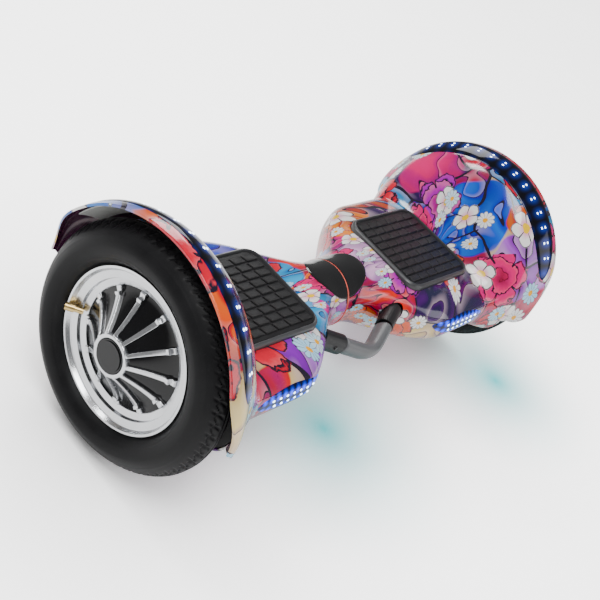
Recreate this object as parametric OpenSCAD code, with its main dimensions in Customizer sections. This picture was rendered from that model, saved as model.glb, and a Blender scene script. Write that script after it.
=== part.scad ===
// Self-balancing two-wheel board: two shell halves that twist about a centre shaft,
// a hub-motor wheel under a round fender at each end, and a carry handle across the neck.
// X runs along the axles, -Y is the front with the headlights, +Z is up, and the floor is Z = 0.

/* [Wheels] */
// Outer radius of the tyre
tyre_r = 127; // [115:1:140]
// Width of the tyre
tyre_w = 48; // [42:1:54]
// Distance from the middle of the board to the middle of each tyre
wheel_x = 308.5; // [290:0.5:340]
// Radius of the rim's outer lip
rim_r = 83.4; // [78:0.2:88]
// Bore of the motor drum inside the rim
drum_r = 62; // [56:0.5:64]
// How far the hub ring stands out from the middle of the tyre
hub_out = 30; // [26:0.5:34]
// Radius of the hub ring
hub_ring_r = 22; // [20:0.5:25]
// Radius of the black cap inside the hub ring
hub_cap_r = 17.3; // [14:0.1:19]
// Radius of the wheel axle
axle_r = 8; // [7:0.1:9]
// Ribs on the face of the hub
rib_count = 12; // [8:1:16]

/* [Body] */
// Radius of the neck between the halves
neck_r = 40; // [36:0.5:44]
// How far the neck's axis lies below the wheel axle
neck_drop = 9; // [6:0.5:12]
// Half of the body's depth, front to back
pod_w = 109; // [104:1:120]
// Height of the deck above the wheel axle
deck_z = 28.5; // [24:0.5:34]
// Depth of the body's underside below the wheel axle
pod_bottom = 60; // [58:1:72]
// Thickness of the shells
wall = 2.6; // [2:0.1:3.2]
// Gap between the two halves, to each side of the seam ring
half_gap = 1.4; // [1.2:0.1:2]

/* [Fender] */
// Radius of the fender at the outer edge of its light strip
fender_r = 143.5; // [138:0.5:156]
// Radius of the fender at the inner edge of its light strip
fender_neck_r = 130; // [126:0.5:142]
// Width of the light strip across the fender
strip_w = 35; // [28:0.5:38]
// Width of the printed lip outside the light strip
lip_w = 9.2; // [6:0.2:12]
// Half of the arc that the light strip covers
strip_half_arc = 66; // [50:1:70]
// Depth of the light strip's channel
strip_depth = 5.6; // [4.8:0.1:6]

/* [Foot pads] */
// Length of a foot pad along X
pad_len = 139; // [115:1:145]
// Depth of a foot pad, front to back
pad_depth = 124; // [100:1:130]
// Inner end of the foot pad, from the middle of the board
pad_x = 92; // [88:1:100]
// Height of the pad's top above the deck
pad_rise = 4; // [3:0.5:5]
// Corner radius of the pad
pad_corner = 20; // [12:1:28]
// Travel of the pad on to its switches
pad_travel = 1.5; // [1:0.1:2]
// Columns of raised blocks on a pad
block_cols = 5; // [3:1:7]
// Rows of raised blocks on a pad
block_rows = 7; // [4:1:9]

/* [Headlights] */
// Length of a headlight
lamp_len = 110; // [90:1:120]
// Height of a headlight
lamp_h = 18; // [14:0.5:20]
// Middle of the headlight, from the middle of the board
lamp_x = 172; // [165:1:180]
// Height of the headlight against the wheel axle
lamp_z = -6.5; // [-14:0.5:-6]

/* [Shaft] */
// Outer radius of the shaft that joins the halves
shaft_r = 14; // [12:0.5:15]
// Bore of the shaft, for the cables
shaft_bore_r = 10; // [8:0.5:11]
// Half of the shaft's length
shaft_half = 82; // [76:1:84]

/* [Handle] */
// Distance from the middle of the board to the root of each leg
handle_x = 74; // [72:1:78]
// How far forward of the axle a leg's root lies
handle_y = 60; // [58:0.5:64]
// Height of a leg's root against the wheel axle
handle_z = -1; // [-4:0.5:2]
// Slope of the legs towards the front, in degrees
leg_out = 24.1; // [20:0.1:28]
// Slope of the legs downwards, in degrees
leg_down = 12.4; // [8:0.1:16]
// Height of the grip's oval section
grip_h = 26; // [24:0.5:30]
// Thickness of the grip's oval section
grip_t = 18; // [16:0.5:21]
// Radius of the bend in the middle of the grip
grip_bend = 34; // [28:1:40]
// Length of the black boot at each end
boot_len = 24; // [20:1:27]

/* [Hidden] */
$fn = 72;
fit = 0.3;                             // gap between pieces that only sit next to each other
run = 0.05;                            // radial running clearance
// wheel
tyre_mid_r = tyre_r - 23.5;            // radius at which the tyre is widest
tyre_skin = 5;
bead_r = rim_r - 5.6;                  // radius of the rim's bead seat
bead_x = 10;                           // half width between the rim's lips
lip_out = 13.5;                        // the rim's lips end this far from its middle
drum_in = -24;                         // inner end of the motor drum
cover_t = 4;                           // thickness of the motor's end covers
valve_t = 100;                          // angle of the valve, back from the top
magnet_count = 30;
tooth_count = 27;
magnet_t = 3.4;
air_gap = 0.6;
stator_r = drum_r - fit - magnet_t - air_gap;
slot_w = 7;                            // width of the slots between the teeth
core_r = stator_r - 14;                // bottom of the slots
stator_x0 = -20;
stator_x1 = -5;
coil_over = 4;                         // how far the coils stand out of the core
bearing_r = 16;
bearing_w = 9;
axle_in = wheel_x + drum_in - 50;      // inner end of the axle
// body
strip_x0 = wheel_x - 25.5;             // inner edge of the light strip
strip_x1 = strip_x0 + strip_w;
lip_x = strip_x1 + lip_w;
end_x = strip_x0 - 11;                 // the body's end wall, beside the wheel
flare_x = end_x - 44;                  // where the body starts to flare into the fender
seam_t = 73;                           // angle from the top at which the shells part
tuck_t = 97;                           // the same angle where the fender starts
tip_t = 90;                            // the same angle at the fender's lip
seam_step = 0.4;
lip_draw = 0.5;                        // share of the fender lip's width lost at its tips
collar_a = 48;                         // half length of the collars' opening
collar_b = 33;                         // half width of the collars' opening
// frame
plate_z0 = -24;
plate_z1 = -17;
plate_y = 50;
frame_x0 = 6;
frame_x1 = end_x - wall - 6;
post_z = -(pod_bottom - wall) + 7;     // bottom of the frame's posts
post_xs = [pad_x + 22, frame_x1 - 18];
post_y = 42;
tube_r = shaft_r + 9;
bush_t = 3;
clamp_x0 = axle_in + 2;
clamp_x1 = frame_x1 - 2;
clamp_y = 22;
clamp_h = axle_r + 7;
board_z = -12;
board_x0 = pad_x + 18;
board_x1 = board_x0 + 90;
switch_z = board_z + 6.6;
// pads
pad_top = deck_z + pad_rise;
pad_bot = deck_z - 4.5;
// handle
leg_dir = [cos(leg_down) * cos(leg_out), cos(leg_down) * sin(leg_out), sin(leg_down)];
boot_root = 8;                         // length of a boot inside the shell
spigot_h = 17;
spigot_t = 9;
boot_wall = 2.4;
pin_r = 2.5;
pin_at = 15;                           // the pivot pin's distance from the leg's root
mouth_gap = 2.2;

// ---------- helpers ----------
function mix(a, b, t) = a + (b - a) * t;
function ease(a, b, x) = let (t = min(1, max(0, (x - a) / (b - a)))) t * t * (3 - 2 * t);
function spow(v, p) = sign(v) * pow(abs(v), p);

// Everything is drawn round the wheel axle, then lifted on to the wheels.
module on_axle() { translate([0, 0, tyre_r]) children(); }
// side = -1 mirrors the right half's pieces to the left.
module side(s) { on_axle() mirror([s < 0 ? 1 : 0, 0, 0]) children(); }
// Turns a shape drawn along Z so that it lies along X, at x.
module along_x(x = 0) { translate([x, 0, 0]) rotate([0, 90, 0]) children(); }
module ring_x(x, r1, r0, h) {
  along_x(x) difference() {
    cylinder(r = r1, h = h);
    translate([0, 0, -1]) cylinder(r = r0, h = h + 2);
  }
}
module block(lo, hi) { translate(lo) cube(hi - lo); }

// ---------- outline of the body ----------
function half_depth(x) = mix(neck_r, pod_w, ease(15, 150, x));
function top_z(x) = mix(neck_r - neck_drop, deck_z, ease(50, 95, x));
function bottom_z(x) = -mix(neck_r + neck_drop, pod_bottom, ease(15, 110, x));
// The deck is squarer than the underside.
function squareness(x, c) = mix(2, c > 0 ? 3 : 2.3, ease(15, 110, x));
function flare(x) = let (t = min(1, max(0, (x - flare_x) / (strip_x0 - flare_x)))) 0.5 * t + 0.5 * ease(0, 1, t);
function reach(t) = 1 - ease(tuck_t, 140, abs(t > 180 ? t - 360 : t));
function fender_at(x) = x <= strip_x0 ? fender_neck_r
  : x <= strip_x1 ? mix(fender_neck_r, fender_r, sin(90 * (x - strip_x0) / strip_w))
  : fender_r - 1.1 * (x - strip_x1) / lip_w;
// Half of the upper shell's arc at x.
function split_t(x) = x < strip_x0 ? mix(seam_t, tuck_t, ease(flare_x + 6, end_x, x))
  : mix(tuck_t, tip_t, ease(strip_x0, lip_x, x));
// A point of the oval body at angle t from the top, inset by off: a superellipse round the neck's axis.
function pod_pt(x, t, off) = let (
    p = 2 / squareness(x, cos(t)),
    h = cos(t) > 0 ? top_z(x) + neck_drop : -neck_drop - bottom_z(x))
  [-(half_depth(x) - off) * spow(sin(t), p), -neck_drop + (h - off) * spow(cos(t), p)];
// A point of the shell: the oval body blends into the round fender.
function skin_pt(x, t, off) = let (k = flare(x) * reach(t), r = fender_at(x) - off)
  pod_pt(x, t, off) * (1 - k) + [-r * sin(t), r * cos(t)] * k;
// The wall is measured squarely where the surface is steep.
function wall_at(x) = wall * (1 + 4.6 * flare(x) * (1 - flare(x)));
function channel(x, t) = x > strip_x0 + 0.3 && x < strip_x1 - 0.3 && abs(t) < strip_half_arc + 1 ? strip_depth : 0;

// A sheet with a thickness: outer and inner are grids of points, rows of equal length.
module sheet(outer, inner) {
  n = len(outer);
  m = len(outer[0]);
  pts = concat([for (row = outer) each row], [for (row = inner) each row]);
  function o(i, j) = i * m + j;
  function q(i, j) = n * m + i * m + j;
  faces = concat(
    [for (i = [0:n - 2], j = [0:m - 2]) each [[o(i, j), o(i + 1, j), o(i + 1, j + 1)],
                                              [o(i, j), o(i + 1, j + 1), o(i, j + 1)]]],
    [for (i = [0:n - 2], j = [0:m - 2]) each [[q(i, j), q(i + 1, j + 1), q(i + 1, j)],
                                              [q(i, j), q(i, j + 1), q(i + 1, j + 1)]]],
    [for (i = [0:n - 2]) each [[o(i, 0), q(i, 0), q(i + 1, 0)], [o(i, 0), q(i + 1, 0), o(i + 1, 0)]]],
    [for (i = [0:n - 2]) each [[o(i, m - 1), q(i + 1, m - 1), q(i, m - 1)],
                               [o(i, m - 1), o(i + 1, m - 1), q(i + 1, m - 1)]]],
    [for (j = [0:m - 2]) each [[o(0, j), q(0, j + 1), q(0, j)], [o(0, j), o(0, j + 1), q(0, j + 1)]]],
    [for (j = [0:m - 2]) each [[o(n - 1, j), q(n - 1, j), q(n - 1, j + 1)],
                               [o(n - 1, j), q(n - 1, j + 1), o(n - 1, j + 1)]]]);
  polyhedron(pts, faces, convexity = 8);
}

// Stations along the body; the light strip's channel has a station at each side of its edges.
body_xs = concat([half_gap], [for (f = [0.05:0.09:0.95]) 15 + 145 * f], [180, 204, flare_x],
  [for (f = [0.2:0.2:0.8]) mix(flare_x, end_x, f)]);
fender_xs = concat([end_x, end_x + 6, strip_x0 - 0.2, strip_x0 + 0.8],
  [for (f = [0.17:0.165:0.9]) mix(strip_x0, strip_x1, f)], [strip_x1 - 0.8, strip_x1 + 0.2, mix(strip_x1, lip_x, 0.6), lip_x]);
// Towards its ends the fender's lip draws in to a point.
function drawn_in(x, t) = x - lip_draw * max(0, x - strip_x0) * ease(58, tip_t, abs(t));
function skin_row(x, ts, off, cut) = [for (t = ts) let (
    p = skin_pt(x, t, off + (cut ? channel(x, t) : 0))) [cut ? drawn_in(x, t) : x, p[0], p[1]]];
function arc_steps(x, n) = [for (i = [0:n]) let (s = 2 * i / n - 1) s * split_t(x)];
// The strip's ends fall between two steps of the arc.
function under_steps(x, n) = let (a = split_t(x) + seam_step, b = 360 - a) [for (i = [0:n]) mix(a, b, i / n)];

module pad_prism(grow, z0, z1) {
  r = pad_corner + grow;
  translate([0, 0, z0]) linear_extrude(z1 - z0)
    union() {
      translate([pad_x + pad_corner, -pad_depth / 2 - grow]) square([pad_len - 2 * pad_corner, pad_depth + 2 * grow]);
      translate([pad_x - grow, -pad_depth / 2 + pad_corner]) square([pad_len + 2 * grow, pad_depth - 2 * pad_corner]);
      for (x = [pad_x + pad_corner, pad_x + pad_len - pad_corner], y = [-1, 1])
        translate([x, y * (pad_depth / 2 - pad_corner)]) circle(r = r);
    }
}
module collar_prism(shrink) {
  a = collar_a - shrink;
  b = collar_b - shrink;
  translate([0, 0, -neck_drop + 6]) linear_extrude(60)
    polygon([for (t = [0:10:350]) [a * cos(t), b * sin(t)]]);
}
// Places a shape drawn along Z so that it runs along the right leg of the handle, out of the body.
module on_leg(at) {
  translate([handle_x, -handle_y, handle_z] + at * [-leg_dir[0], -leg_dir[1], -leg_dir[2]])
    rotate([0, 0, 180 + leg_out]) rotate([0, 90 + leg_down, 0]) children();
}
// Oval with its height along the section's own X.
module oval(h, t) { polygon([for (a = [0:15:345]) [h / 2 * cos(a), t / 2 * sin(a)]]); }
module leg_hole() { on_leg(-30) linear_extrude(60) oval(grip_h + 2 * fit + 1.4, grip_t + 5 + 2 * fit); }
// The lamp's front is a slice of a large upright drum, so that it follows the body.
lamp_bow = 320;
lamp_yaw = atan((half_depth(lamp_x + lamp_len / 2) - half_depth(lamp_x - lamp_len / 2)) / lamp_len);
module at_lamp() { translate([lamp_x, -half_depth(lamp_x), lamp_z]) rotate([0, 0, -lamp_yaw]) children(); }
module lamp_outline(grow) {
  l = lamp_len / 2 - lamp_h / 2;
  translate([0, 30, 0]) rotate([90, 0, 0]) linear_extrude(60) union() {
    translate([-l, -lamp_h / 2 - grow]) square([2 * l, lamp_h + 2 * grow]);
    for (s = [-1, 1]) translate([s * l, 0]) circle(r = lamp_h / 2 + grow);
  }
}

// ---------- wheel ----------
// Half-profile of the tyre: a pointed arch over the widest place and a round side below it.
function tyre_curve(w, up, down, a) = [for (t = [-a:(180 + 2 * a) / 36:180 + a])
  sin(t) > 0 ? [tyre_mid_r + up * spow(sin(t), 1.3), w * spow(cos(t), 1.3)]
             : [tyre_mid_r + down * sin(t), w * cos(t)]];
module tyre(s) {
  color([0.06, 0.06, 0.065]) side(s) along_x(wheel_x) rotate_extrude() difference() {
    polygon(concat([[bead_r + 0.1, bead_x - 0.2]],
      tyre_curve(tyre_w / 2, tyre_r - tyre_mid_r, 21, 64),
      [[bead_r + 0.1, -bead_x + 0.2]]));
    polygon(concat([[bead_r - 1, bead_x - 4.5]],
      tyre_curve(tyre_w / 2 - tyre_skin, tyre_r - tyre_mid_r - tyre_skin - 1, 16, 56),
      [[bead_r - 1, -bead_x + 4.5]]));
  }
}
module inner_tube(s) {
  color([0.12, 0.12, 0.12]) side(s) along_x(wheel_x) rotate_extrude() difference() {
    polygon(tyre_curve(tyre_w / 2 - tyre_skin - 0.6, tyre_r - tyre_mid_r - tyre_skin - 1.6, 15, 90));
    polygon(tyre_curve(tyre_w / 2 - tyre_skin - 2.6, tyre_r - tyre_mid_r - tyre_skin - 3.6, 13, 90));
  }
}
module rim(s) {
  color([0.82, 0.83, 0.85]) side(s) along_x(wheel_x) rotate_extrude() polygon([
    [drum_r, drum_in], [drum_r, -2], [drum_r + 1.5, -2], [drum_r + 1.5, 2], [drum_r + 8, 4], [drum_r + 9, 7.5],
    [rim_r - 5, 9], [rim_r - 2.4, lip_out], [rim_r, lip_out], [rim_r, bead_x + 0.6], [bead_r + 2, bead_x],
    [bead_r, bead_x - 1], [bead_r, 1 - bead_x], [bead_r + 2, -bead_x], [rim_r, -bead_x - 0.6], [rim_r, -lip_out],
    [rim_r - 2.4, -lip_out], [drum_r + 9, -11], [drum_r + 6, drum_in]]);
}
// Height of the hub cover's face at radius r: it falls from the hub ring in a long curve.
function face_x(r) = let (t = (r - hub_ring_r) / (drum_r + 1 - hub_ring_r))
  mix(hub_out - 4, 1, 1 - pow(1 - min(1, max(0, t)), 1.35));
module hub_cover(s) {
  steps = [for (i = [0:8]) mix(hub_ring_r, drum_r + 1.2, i / 8)];
  color([0.05, 0.05, 0.055]) side(s) along_x(wheel_x) {
    difference() {
      union() {
        rotate_extrude() polygon(concat(
          [[bearing_r, face_x(hub_ring_r) - 12], [hub_cap_r + 0.1, face_x(hub_ring_r) - 9],
           [hub_cap_r + 0.1, hub_out], [hub_ring_r, hub_out]],
          [for (r = steps) [r, face_x(r)]],
          [[drum_r + 1.2, -1.8], [drum_r - 2, -1.8]],
          [for (i = [7:-1:0]) [steps[i] - 2, face_x(steps[i]) - cover_t]],
          [[bearing_r + 3, face_x(hub_ring_r) - 13], [bearing_r, face_x(hub_ring_r) - 13]]));
        for (i = [0:rib_count - 1]) rotate([0, 0, (i + 0.5) * 360 / rib_count]) rib();
      }
    }
  }
}
// One machined rib: a thin radial wall whose crest runs 3.5 mm above the cover, then steps up to the rim.
module rib() {
  rs = [for (i = [0:6]) mix(hub_ring_r - 1, drum_r - 7, i / 6)];
  rotate([90, 0, 0]) translate([0, 0, -2]) linear_extrude(4) polygon(concat(
    [for (r = rs) [r, face_x(r) + 3.5]],
    [[drum_r - 4, face_x(drum_r - 7) + 4.5], [drum_r + 1, 4], [drum_r + 1, 0]],
    [for (i = [6:-1:0]) [rs[i], face_x(rs[i]) - 1]]));
}
module hub_cap(s) {
  color([0.04, 0.04, 0.04]) side(s) along_x(wheel_x + face_x(hub_ring_r) - 8.8) difference() {
    union() {
      cylinder(r = hub_cap_r, h = hub_out - face_x(hub_ring_r) + 8.8);
      cylinder(r = hub_cap_r - 2, h = hub_out - face_x(hub_ring_r) + 9.9);
    }
    translate([0, 0, -1]) cylinder(r = hub_cap_r - 2.4, h = 10);
  }
}
module motor_cover(s) {
  color([0.25, 0.25, 0.26]) side(s) difference() {
    union() {
      ring_x(wheel_x + drum_in - cover_t, drum_r + 5.5, bearing_r, cover_t - 0.05);
      ring_x(wheel_x + drum_in - 0.1, bearing_r + 4, bearing_r, 3);
    }
    for (i = [0:5]) rotate([60 * i, 0, 0]) translate([0, drum_r + 2.6, 0])
      along_x(wheel_x + drum_in - cover_t - 1) cylinder(r = 1.7, h = cover_t + 2);
  }
}
module cover_screws(s) {
  color([0.7, 0.7, 0.72]) side(s) for (i = [0:5]) rotate([60 * i, 0, 0]) translate([0, drum_r + 2.6, 0]) {
    along_x(wheel_x + drum_in - cover_t - 2.4) cylinder(r = 2.7, h = 2.3);
    along_x(wheel_x + drum_in - cover_t - 0.2) cylinder(r = 1.6, h = cover_t);
  }
}
module magnets(s) {
  step = 360 / magnet_count;
  color([0.6, 0.6, 0.62]) side(s) along_x(wheel_x + stator_x0 - 1) for (i = [0:magnet_count - 1])
    rotate([0, 0, i * step]) rotate_extrude(angle = step - 1.4)
      translate([drum_r - 0.1 - magnet_t, 0]) square([magnet_t, stator_x1 - stator_x0 + 2]);
}
module stator(s) {
  h = stator_x1 - stator_x0;
  color([0.45, 0.45, 0.48]) side(s) along_x(wheel_x + stator_x0) difference() {
    cylinder(r = stator_r, h = h);
    translate([0, 0, -1]) cylinder(r = axle_r + 0.02, h = h + 2);
    // Room for the inner bearing, which reaches into the core.
    translate([0, 0, -1]) cylinder(r = bearing_r + 1.5, h = 4.2);
    for (i = [0:tooth_count - 1]) rotate([0, 0, i * 360 / tooth_count])
      translate([core_r, -slot_w / 2, -1]) cube([20, slot_w, h + 2]);
  }
}
// Copper lies in every slot, and its end turns are a ring at each side of the core.
module windings(s) {
  h = stator_x1 - stator_x0;
  color([0.75, 0.4, 0.18]) side(s) {
    along_x(wheel_x + stator_x0) for (i = [0:tooth_count - 1]) rotate([0, 0, i * 360 / tooth_count])
      translate([core_r + 0.3, -slot_w / 2 + 0.3, 0.1]) cube([10.5, slot_w - 0.6, h - 0.2]);
    for (x = [stator_x0 - coil_over, stator_x1 + 0.1]) ring_x(wheel_x + x, core_r + 10.5, core_r, coil_over - 0.1);
    // The phase leads come out of the axle's bore and drop to the space under the deck.
    tube([[axle_in + 22, 0, 0], [axle_in + 8, 0, 0], [axle_in - 4, 1, -0.5], [axle_in - 12, 7, -2],
          [axle_in - 21, 18, -4.5], [axle_in - 32, 30, -7.5], [axle_in - 44, 36, -10.5], [axle_in - 60, 38, -12]], 2.2, 8);
  }
}
// A lead swept along its own points, as one closed solid.
module tube(path, r, n) {
  last = len(path) - 1;
  function unit(v) = v / norm(v);
  function way(i) = unit(path[min(last, i + 1)] - path[max(0, i - 1)]);
  rings = [for (i = [0:last]) let (d = way(i), u = unit(cross(d, [0, 0.02, 1])), v = cross(d, u))
    for (k = [0:n - 1]) path[i] + r * (cos(360 * k / n) * u + sin(360 * k / n) * v)];
  faces = concat([[for (k = [0:n - 1]) k]],
    [for (i = [0:last - 1], k = [0:n - 1]) let (a = i * n + k, b = i * n + (k + 1) % n)
      each [[b, a, a + n], [b, a + n, b + n]]],
    [[for (k = [n - 1:-1:0]) last * n + k]]);
  polyhedron(rings, faces, convexity = 6);
}
module axle(s) {
  color([0.62, 0.63, 0.65]) side(s) difference() {
    union() {
      along_x(axle_in) cylinder(r = axle_r, h = wheel_x + face_x(hub_ring_r) - 14 - axle_in);
      ring_x(wheel_x + drum_in - cover_t - 6, axle_r + 4, axle_r - 1, 5);
    }
    along_x(axle_in - 1) cylinder(r = 2.8, h = 40);
  }
}
module wheel_bearings(s) {
  color([0.72, 0.73, 0.75]) side(s) for (x = [drum_in - cover_t + 1.6, face_x(hub_ring_r) - 22.4]) {
    ring_x(wheel_x + x, bearing_r - 0.02, bearing_r - 2.6, bearing_w);
    ring_x(wheel_x + x, axle_r + 2.6, axle_r + 0.03, bearing_w);
    for (i = [0:7]) rotate([45 * i, 0, 0]) translate([wheel_x + x + bearing_w / 2, (bearing_r + axle_r) / 2, 0])
      sphere(r = (bearing_r - axle_r) / 2 - 2.7, $fn = 24);
  }
}
module valve(s) {
  // The stem leaves the rim's dish and leans outwards; its cap clears the tyre's side.
  color([0.7, 0.55, 0.25]) side(s) rotate([-valve_t, 0, 0]) translate([wheel_x + 6.7, 0, drum_r + 4]) rotate([0, 38, 0]) {
    cylinder(r = 3.2, h = 9);
    translate([0, 0, 9.1]) cylinder(r = 4.2, h = 9.5);
  }
}

// ---------- half of the body ----------
module upper_shell(s) {
  xs = concat(body_xs, fender_xs);
  n = 34;
  color([0.86, 0.62, 0.8]) side(s) difference() {
    union() {
      sheet([for (x = xs) skin_row(x, arc_steps(x, n), 0, true)],
            [for (x = xs) skin_row(x, arc_steps(x, n), wall_at(x), true)]);
      end_wall();
    }
    pad_prism(0.8, 0, 60);
    collar_prism(0);
    leg_hole();
  }
}
// The upper half of the wall beside the wheel, with a round notch over the axle.
module end_wall() {
  ts = arc_steps(end_x, 24);
  ks = [0.24, 0.6, 1];
  function row(x, k) = [for (t = ts) let (p = skin_pt(x, t, wall_at(x) - 0.8)) [x, k * p[0], k * p[1]]];
  sheet([for (k = ks) [for (p = row(end_x, k)) [end_x - wall, p[1], p[2]]]], [for (k = ks) row(end_x, k)]);
}
module lower_shell(s) {
  n = 34;
  function inner_row(x) = skin_row(x, under_steps(x, n), wall_at(x), false);
  function close(x, k) = [for (p = skin_row(end_x, under_steps(end_x, n), 0, false)) [x, k * p[1], k * p[2]]];
  color([0.8, 0.5, 0.65]) side(s) difference() {
    sheet(concat([for (x = body_xs) skin_row(x, under_steps(x, n), 0, false)],
                 [close(end_x, 1), close(end_x, 0.6), close(end_x, 0.24)]),
          concat([for (x = body_xs) inner_row(x)],
                 [[for (p = inner_row(end_x)) [end_x - wall, p[1], p[2]]], close(end_x - wall, 0.6), close(end_x - wall, 0.24)]));
    leg_hole();
    at_lamp() lamp_outline(fit);
    for (x = post_xs, y = [-post_y, post_y]) translate([x, y, -pod_bottom - 5]) cylinder(r = 2.3, h = 20);
    if (s > 0) charge_hole();
    if (s < 0) button_hole();
  }
}
module strip_profile(inset, depth0, depth1) {
  us = [for (i = [0:8]) i / 8];
  x0 = strip_x0 + 1.2 + inset;
  x1 = strip_x1 - 1.2 - inset;
  polygon(concat([for (u = us) let (x = mix(x0, x1, u)) [fender_at(x) - depth0, x]],
                 [for (i = [8:-1:0]) let (x = mix(x0, x1, us[i])) [fender_at(x) - depth1, x]]));
}
// Turns a profile of radius and x about the wheel's axis, evenly about the top.
module over_wheel(half_arc) {
  rotate([0, 90, 0]) rotate([0, 0, 180 - half_arc]) rotate_extrude(angle = 2 * half_arc) children();
}
module fender_lens(s) {
  color([0.03, 0.03, 0.05]) side(s) over_wheel(strip_half_arc - 3) strip_profile(0, 0.1, 2.4);
}
module light_boards(s) {
  color([0.75, 0.85, 1]) side(s) {
    over_wheel(strip_half_arc - 4) strip_profile(4, 3.6, 4.9);
    at_lamp() intersection() {
      lamp_outline(-3);
      translate([0, lamp_bow, -30]) difference() {
        cylinder(r = lamp_bow - 5.2, h = 60, $fn = 180);
        translate([0, 0, -1]) cylinder(r = lamp_bow - 6.6, h = 62, $fn = 180);
      }
    }
  }
}
module headlight_lens(s) {
  color([0.1, 0.25, 0.8]) side(s) at_lamp() intersection() {
    lamp_outline(0);
    translate([0, lamp_bow, -30]) difference() {
      cylinder(r = lamp_bow + 0.6, h = 60, $fn = 180);
      translate([0, 0, -1]) cylinder(r = lamp_bow - 4, h = 62, $fn = 180);
    }
  }
}
// A saddle-shaped trim cap that fills half of the oval opening in the neck.
module neck_collar(s) {
  color([0.03, 0.03, 0.03]) side(s) intersection() {
    translate([0, 0, -neck_drop]) along_x(half_gap) rotate_extrude() polygon([
      [neck_r - 5, 0], [neck_r - 2, 0], [neck_r - 1, 1.5], [neck_r - 0.4, 8], [neck_r, 22], [neck_r - 0.4, 38],
      [neck_r - 1.4, 50], [neck_r - 5, 50]]);
    collar_prism(0.4);
  }
}
module frame(s) {
  bore = s > 0 ? shaft_r + bush_t + 0.02 : shaft_r + 0.02;
  color([0.68, 0.69, 0.7]) side(s) difference() {
    union() {
      block([frame_x0 + 20, -plate_y, plate_z0] + [40, 0, 0], [frame_x1, plate_y, plate_z1]);
      translate([0, 0, -neck_drop]) along_x(frame_x0) cylinder(r = tube_r, h = shaft_half - frame_x0 - 2);
      block([clamp_x0, -clamp_y, plate_z1 - 1], [clamp_x1, clamp_y, -0.1]);
      for (y = [-plate_y, plate_y - 4]) block([frame_x0 + 60, y, plate_z1 - 1], [clamp_x0, y + 4, plate_z1 + 9]);
      for (x = post_xs, y = [-post_y, post_y]) translate([x, y, post_z]) cylinder(r = 4.5, h = plate_z0 - post_z + 1);
      for (x = [pad_x + 14, pad_x + pad_len - 14], y = [-post_y, post_y])
        translate([x, y, plate_z1 - 1]) cylinder(r = 4, h = pad_bot - 7 - plate_z1);
    }
    translate([0, 0, -neck_drop]) along_x(-1) cylinder(r = bore, h = 120);
    along_x(axle_in - 10) cylinder(r = axle_r + 0.02, h = 80);
    for (x = post_xs, y = [-post_y, post_y]) translate([x, y, post_z - 1]) cylinder(r = 1.75, h = 26);
    for (x = [clamp_x0 + 6, clamp_x1 - 6], y = [-1, 1]) translate([x, y * (clamp_y - 5), -18]) cylinder(r = 2.1, h = 30);
    translate([0, 0, -neck_drop]) block([shaft_half - 2, -tube_r, -40], [shaft_half + 16, tube_r, 40]);
    // Slot for the cable harness.
    block([shaft_half + 8, -9, plate_z0 - 4], [shaft_half + 33, 12, plate_z1 + 4]);
  }
}
module axle_clamp(s) {
  color([0.6, 0.6, 0.62]) side(s) difference() {
    block([clamp_x0, -clamp_y, 0.1], [clamp_x1, clamp_y, clamp_h]);
    along_x(axle_in - 10) cylinder(r = axle_r + 0.02, h = 80);
    for (x = [clamp_x0 + 6, clamp_x1 - 6], y = [-1, 1]) translate([x, y * (clamp_y - 5), -1]) cylinder(r = 2.3, h = 40);
  }
}
module fasteners(s) {
  color([0.3, 0.3, 0.32]) side(s) {
    for (x = [clamp_x0 + 6, clamp_x1 - 6], y = [-1, 1]) translate([x, y * (clamp_y - 5), -10]) {
      cylinder(r = 2, h = clamp_h + 10.1);
      translate([0, 0, clamp_h + 10.05]) cylinder(r = 3.6, h = 3);
    }
    for (x = post_xs, y = [-post_y, post_y]) translate([x, y, -pod_bottom - 0.4]) {
      cylinder(r = 1.7, h = 14);
      translate([0, 0, -1.4]) cylinder(r = 3.6, h = 1.5);
    }
  }
}
module gyro_board(s) {
  color([0.1, 0.35, 0.2]) side(s) {
    block([board_x0, -30, board_z], [board_x1, 30, board_z + 1.6]);
    for (x = [board_x0 + 5, board_x1 - 5], y = [-25, 25]) translate([x, y, plate_z1 + 0.05])
      cylinder(r = 3, h = board_z - plate_z1 - 0.1);
    for (x = [board_x0 + 15, board_x1 - 15], y = [-18, 18]) block([x - 5, y - 3, board_z + 1.6], [x + 5, y + 3, switch_z]);
    block([board_x0 + 36, -7, board_z + 1.6], [board_x0 + 50, 7, board_z + 3.4]);
  }
}
module foot_pad(s) {
  cell_x = (pad_len - 16) / block_cols;
  cell_y = (pad_depth - 16) / block_rows;
  color([0.05, 0.05, 0.055]) side(s) {
    union() {
      pad_prism(0, pad_bot, pad_top - 1.6);
      pad_prism(-2.2, pad_top - 2, pad_top - 0.8);
      for (i = [0:block_cols - 1], j = [0:block_rows - 1]) {
        x = pad_x + 8 + cell_x * (i + 0.5);
        y = -pad_depth / 2 + 8 + cell_y * (j + 0.5);
        edge = (i == 0 || i == block_cols - 1) && (j == 0 || j == block_rows - 1) ? 5 : 1;
        block([x - cell_x / 2 + edge, y - cell_y / 2 + edge, pad_top - 2], [x + cell_x / 2 - edge, y + cell_y / 2 - edge, pad_top]);
      }
      for (x = [board_x0 + 15, board_x1 - 15], y = [-18, 18])
        translate([x, y, switch_z + pad_travel + 0.3]) cylinder(r = 3, h = pad_bot - switch_z - pad_travel);
      for (x = [pad_x + 14, pad_x + pad_len - 14], y = [-post_y, post_y])
        translate([x, y, pad_bot - 8 + pad_travel + 0.3]) cylinder(r = 4.5, h = 7);
    }
  }
}

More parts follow.
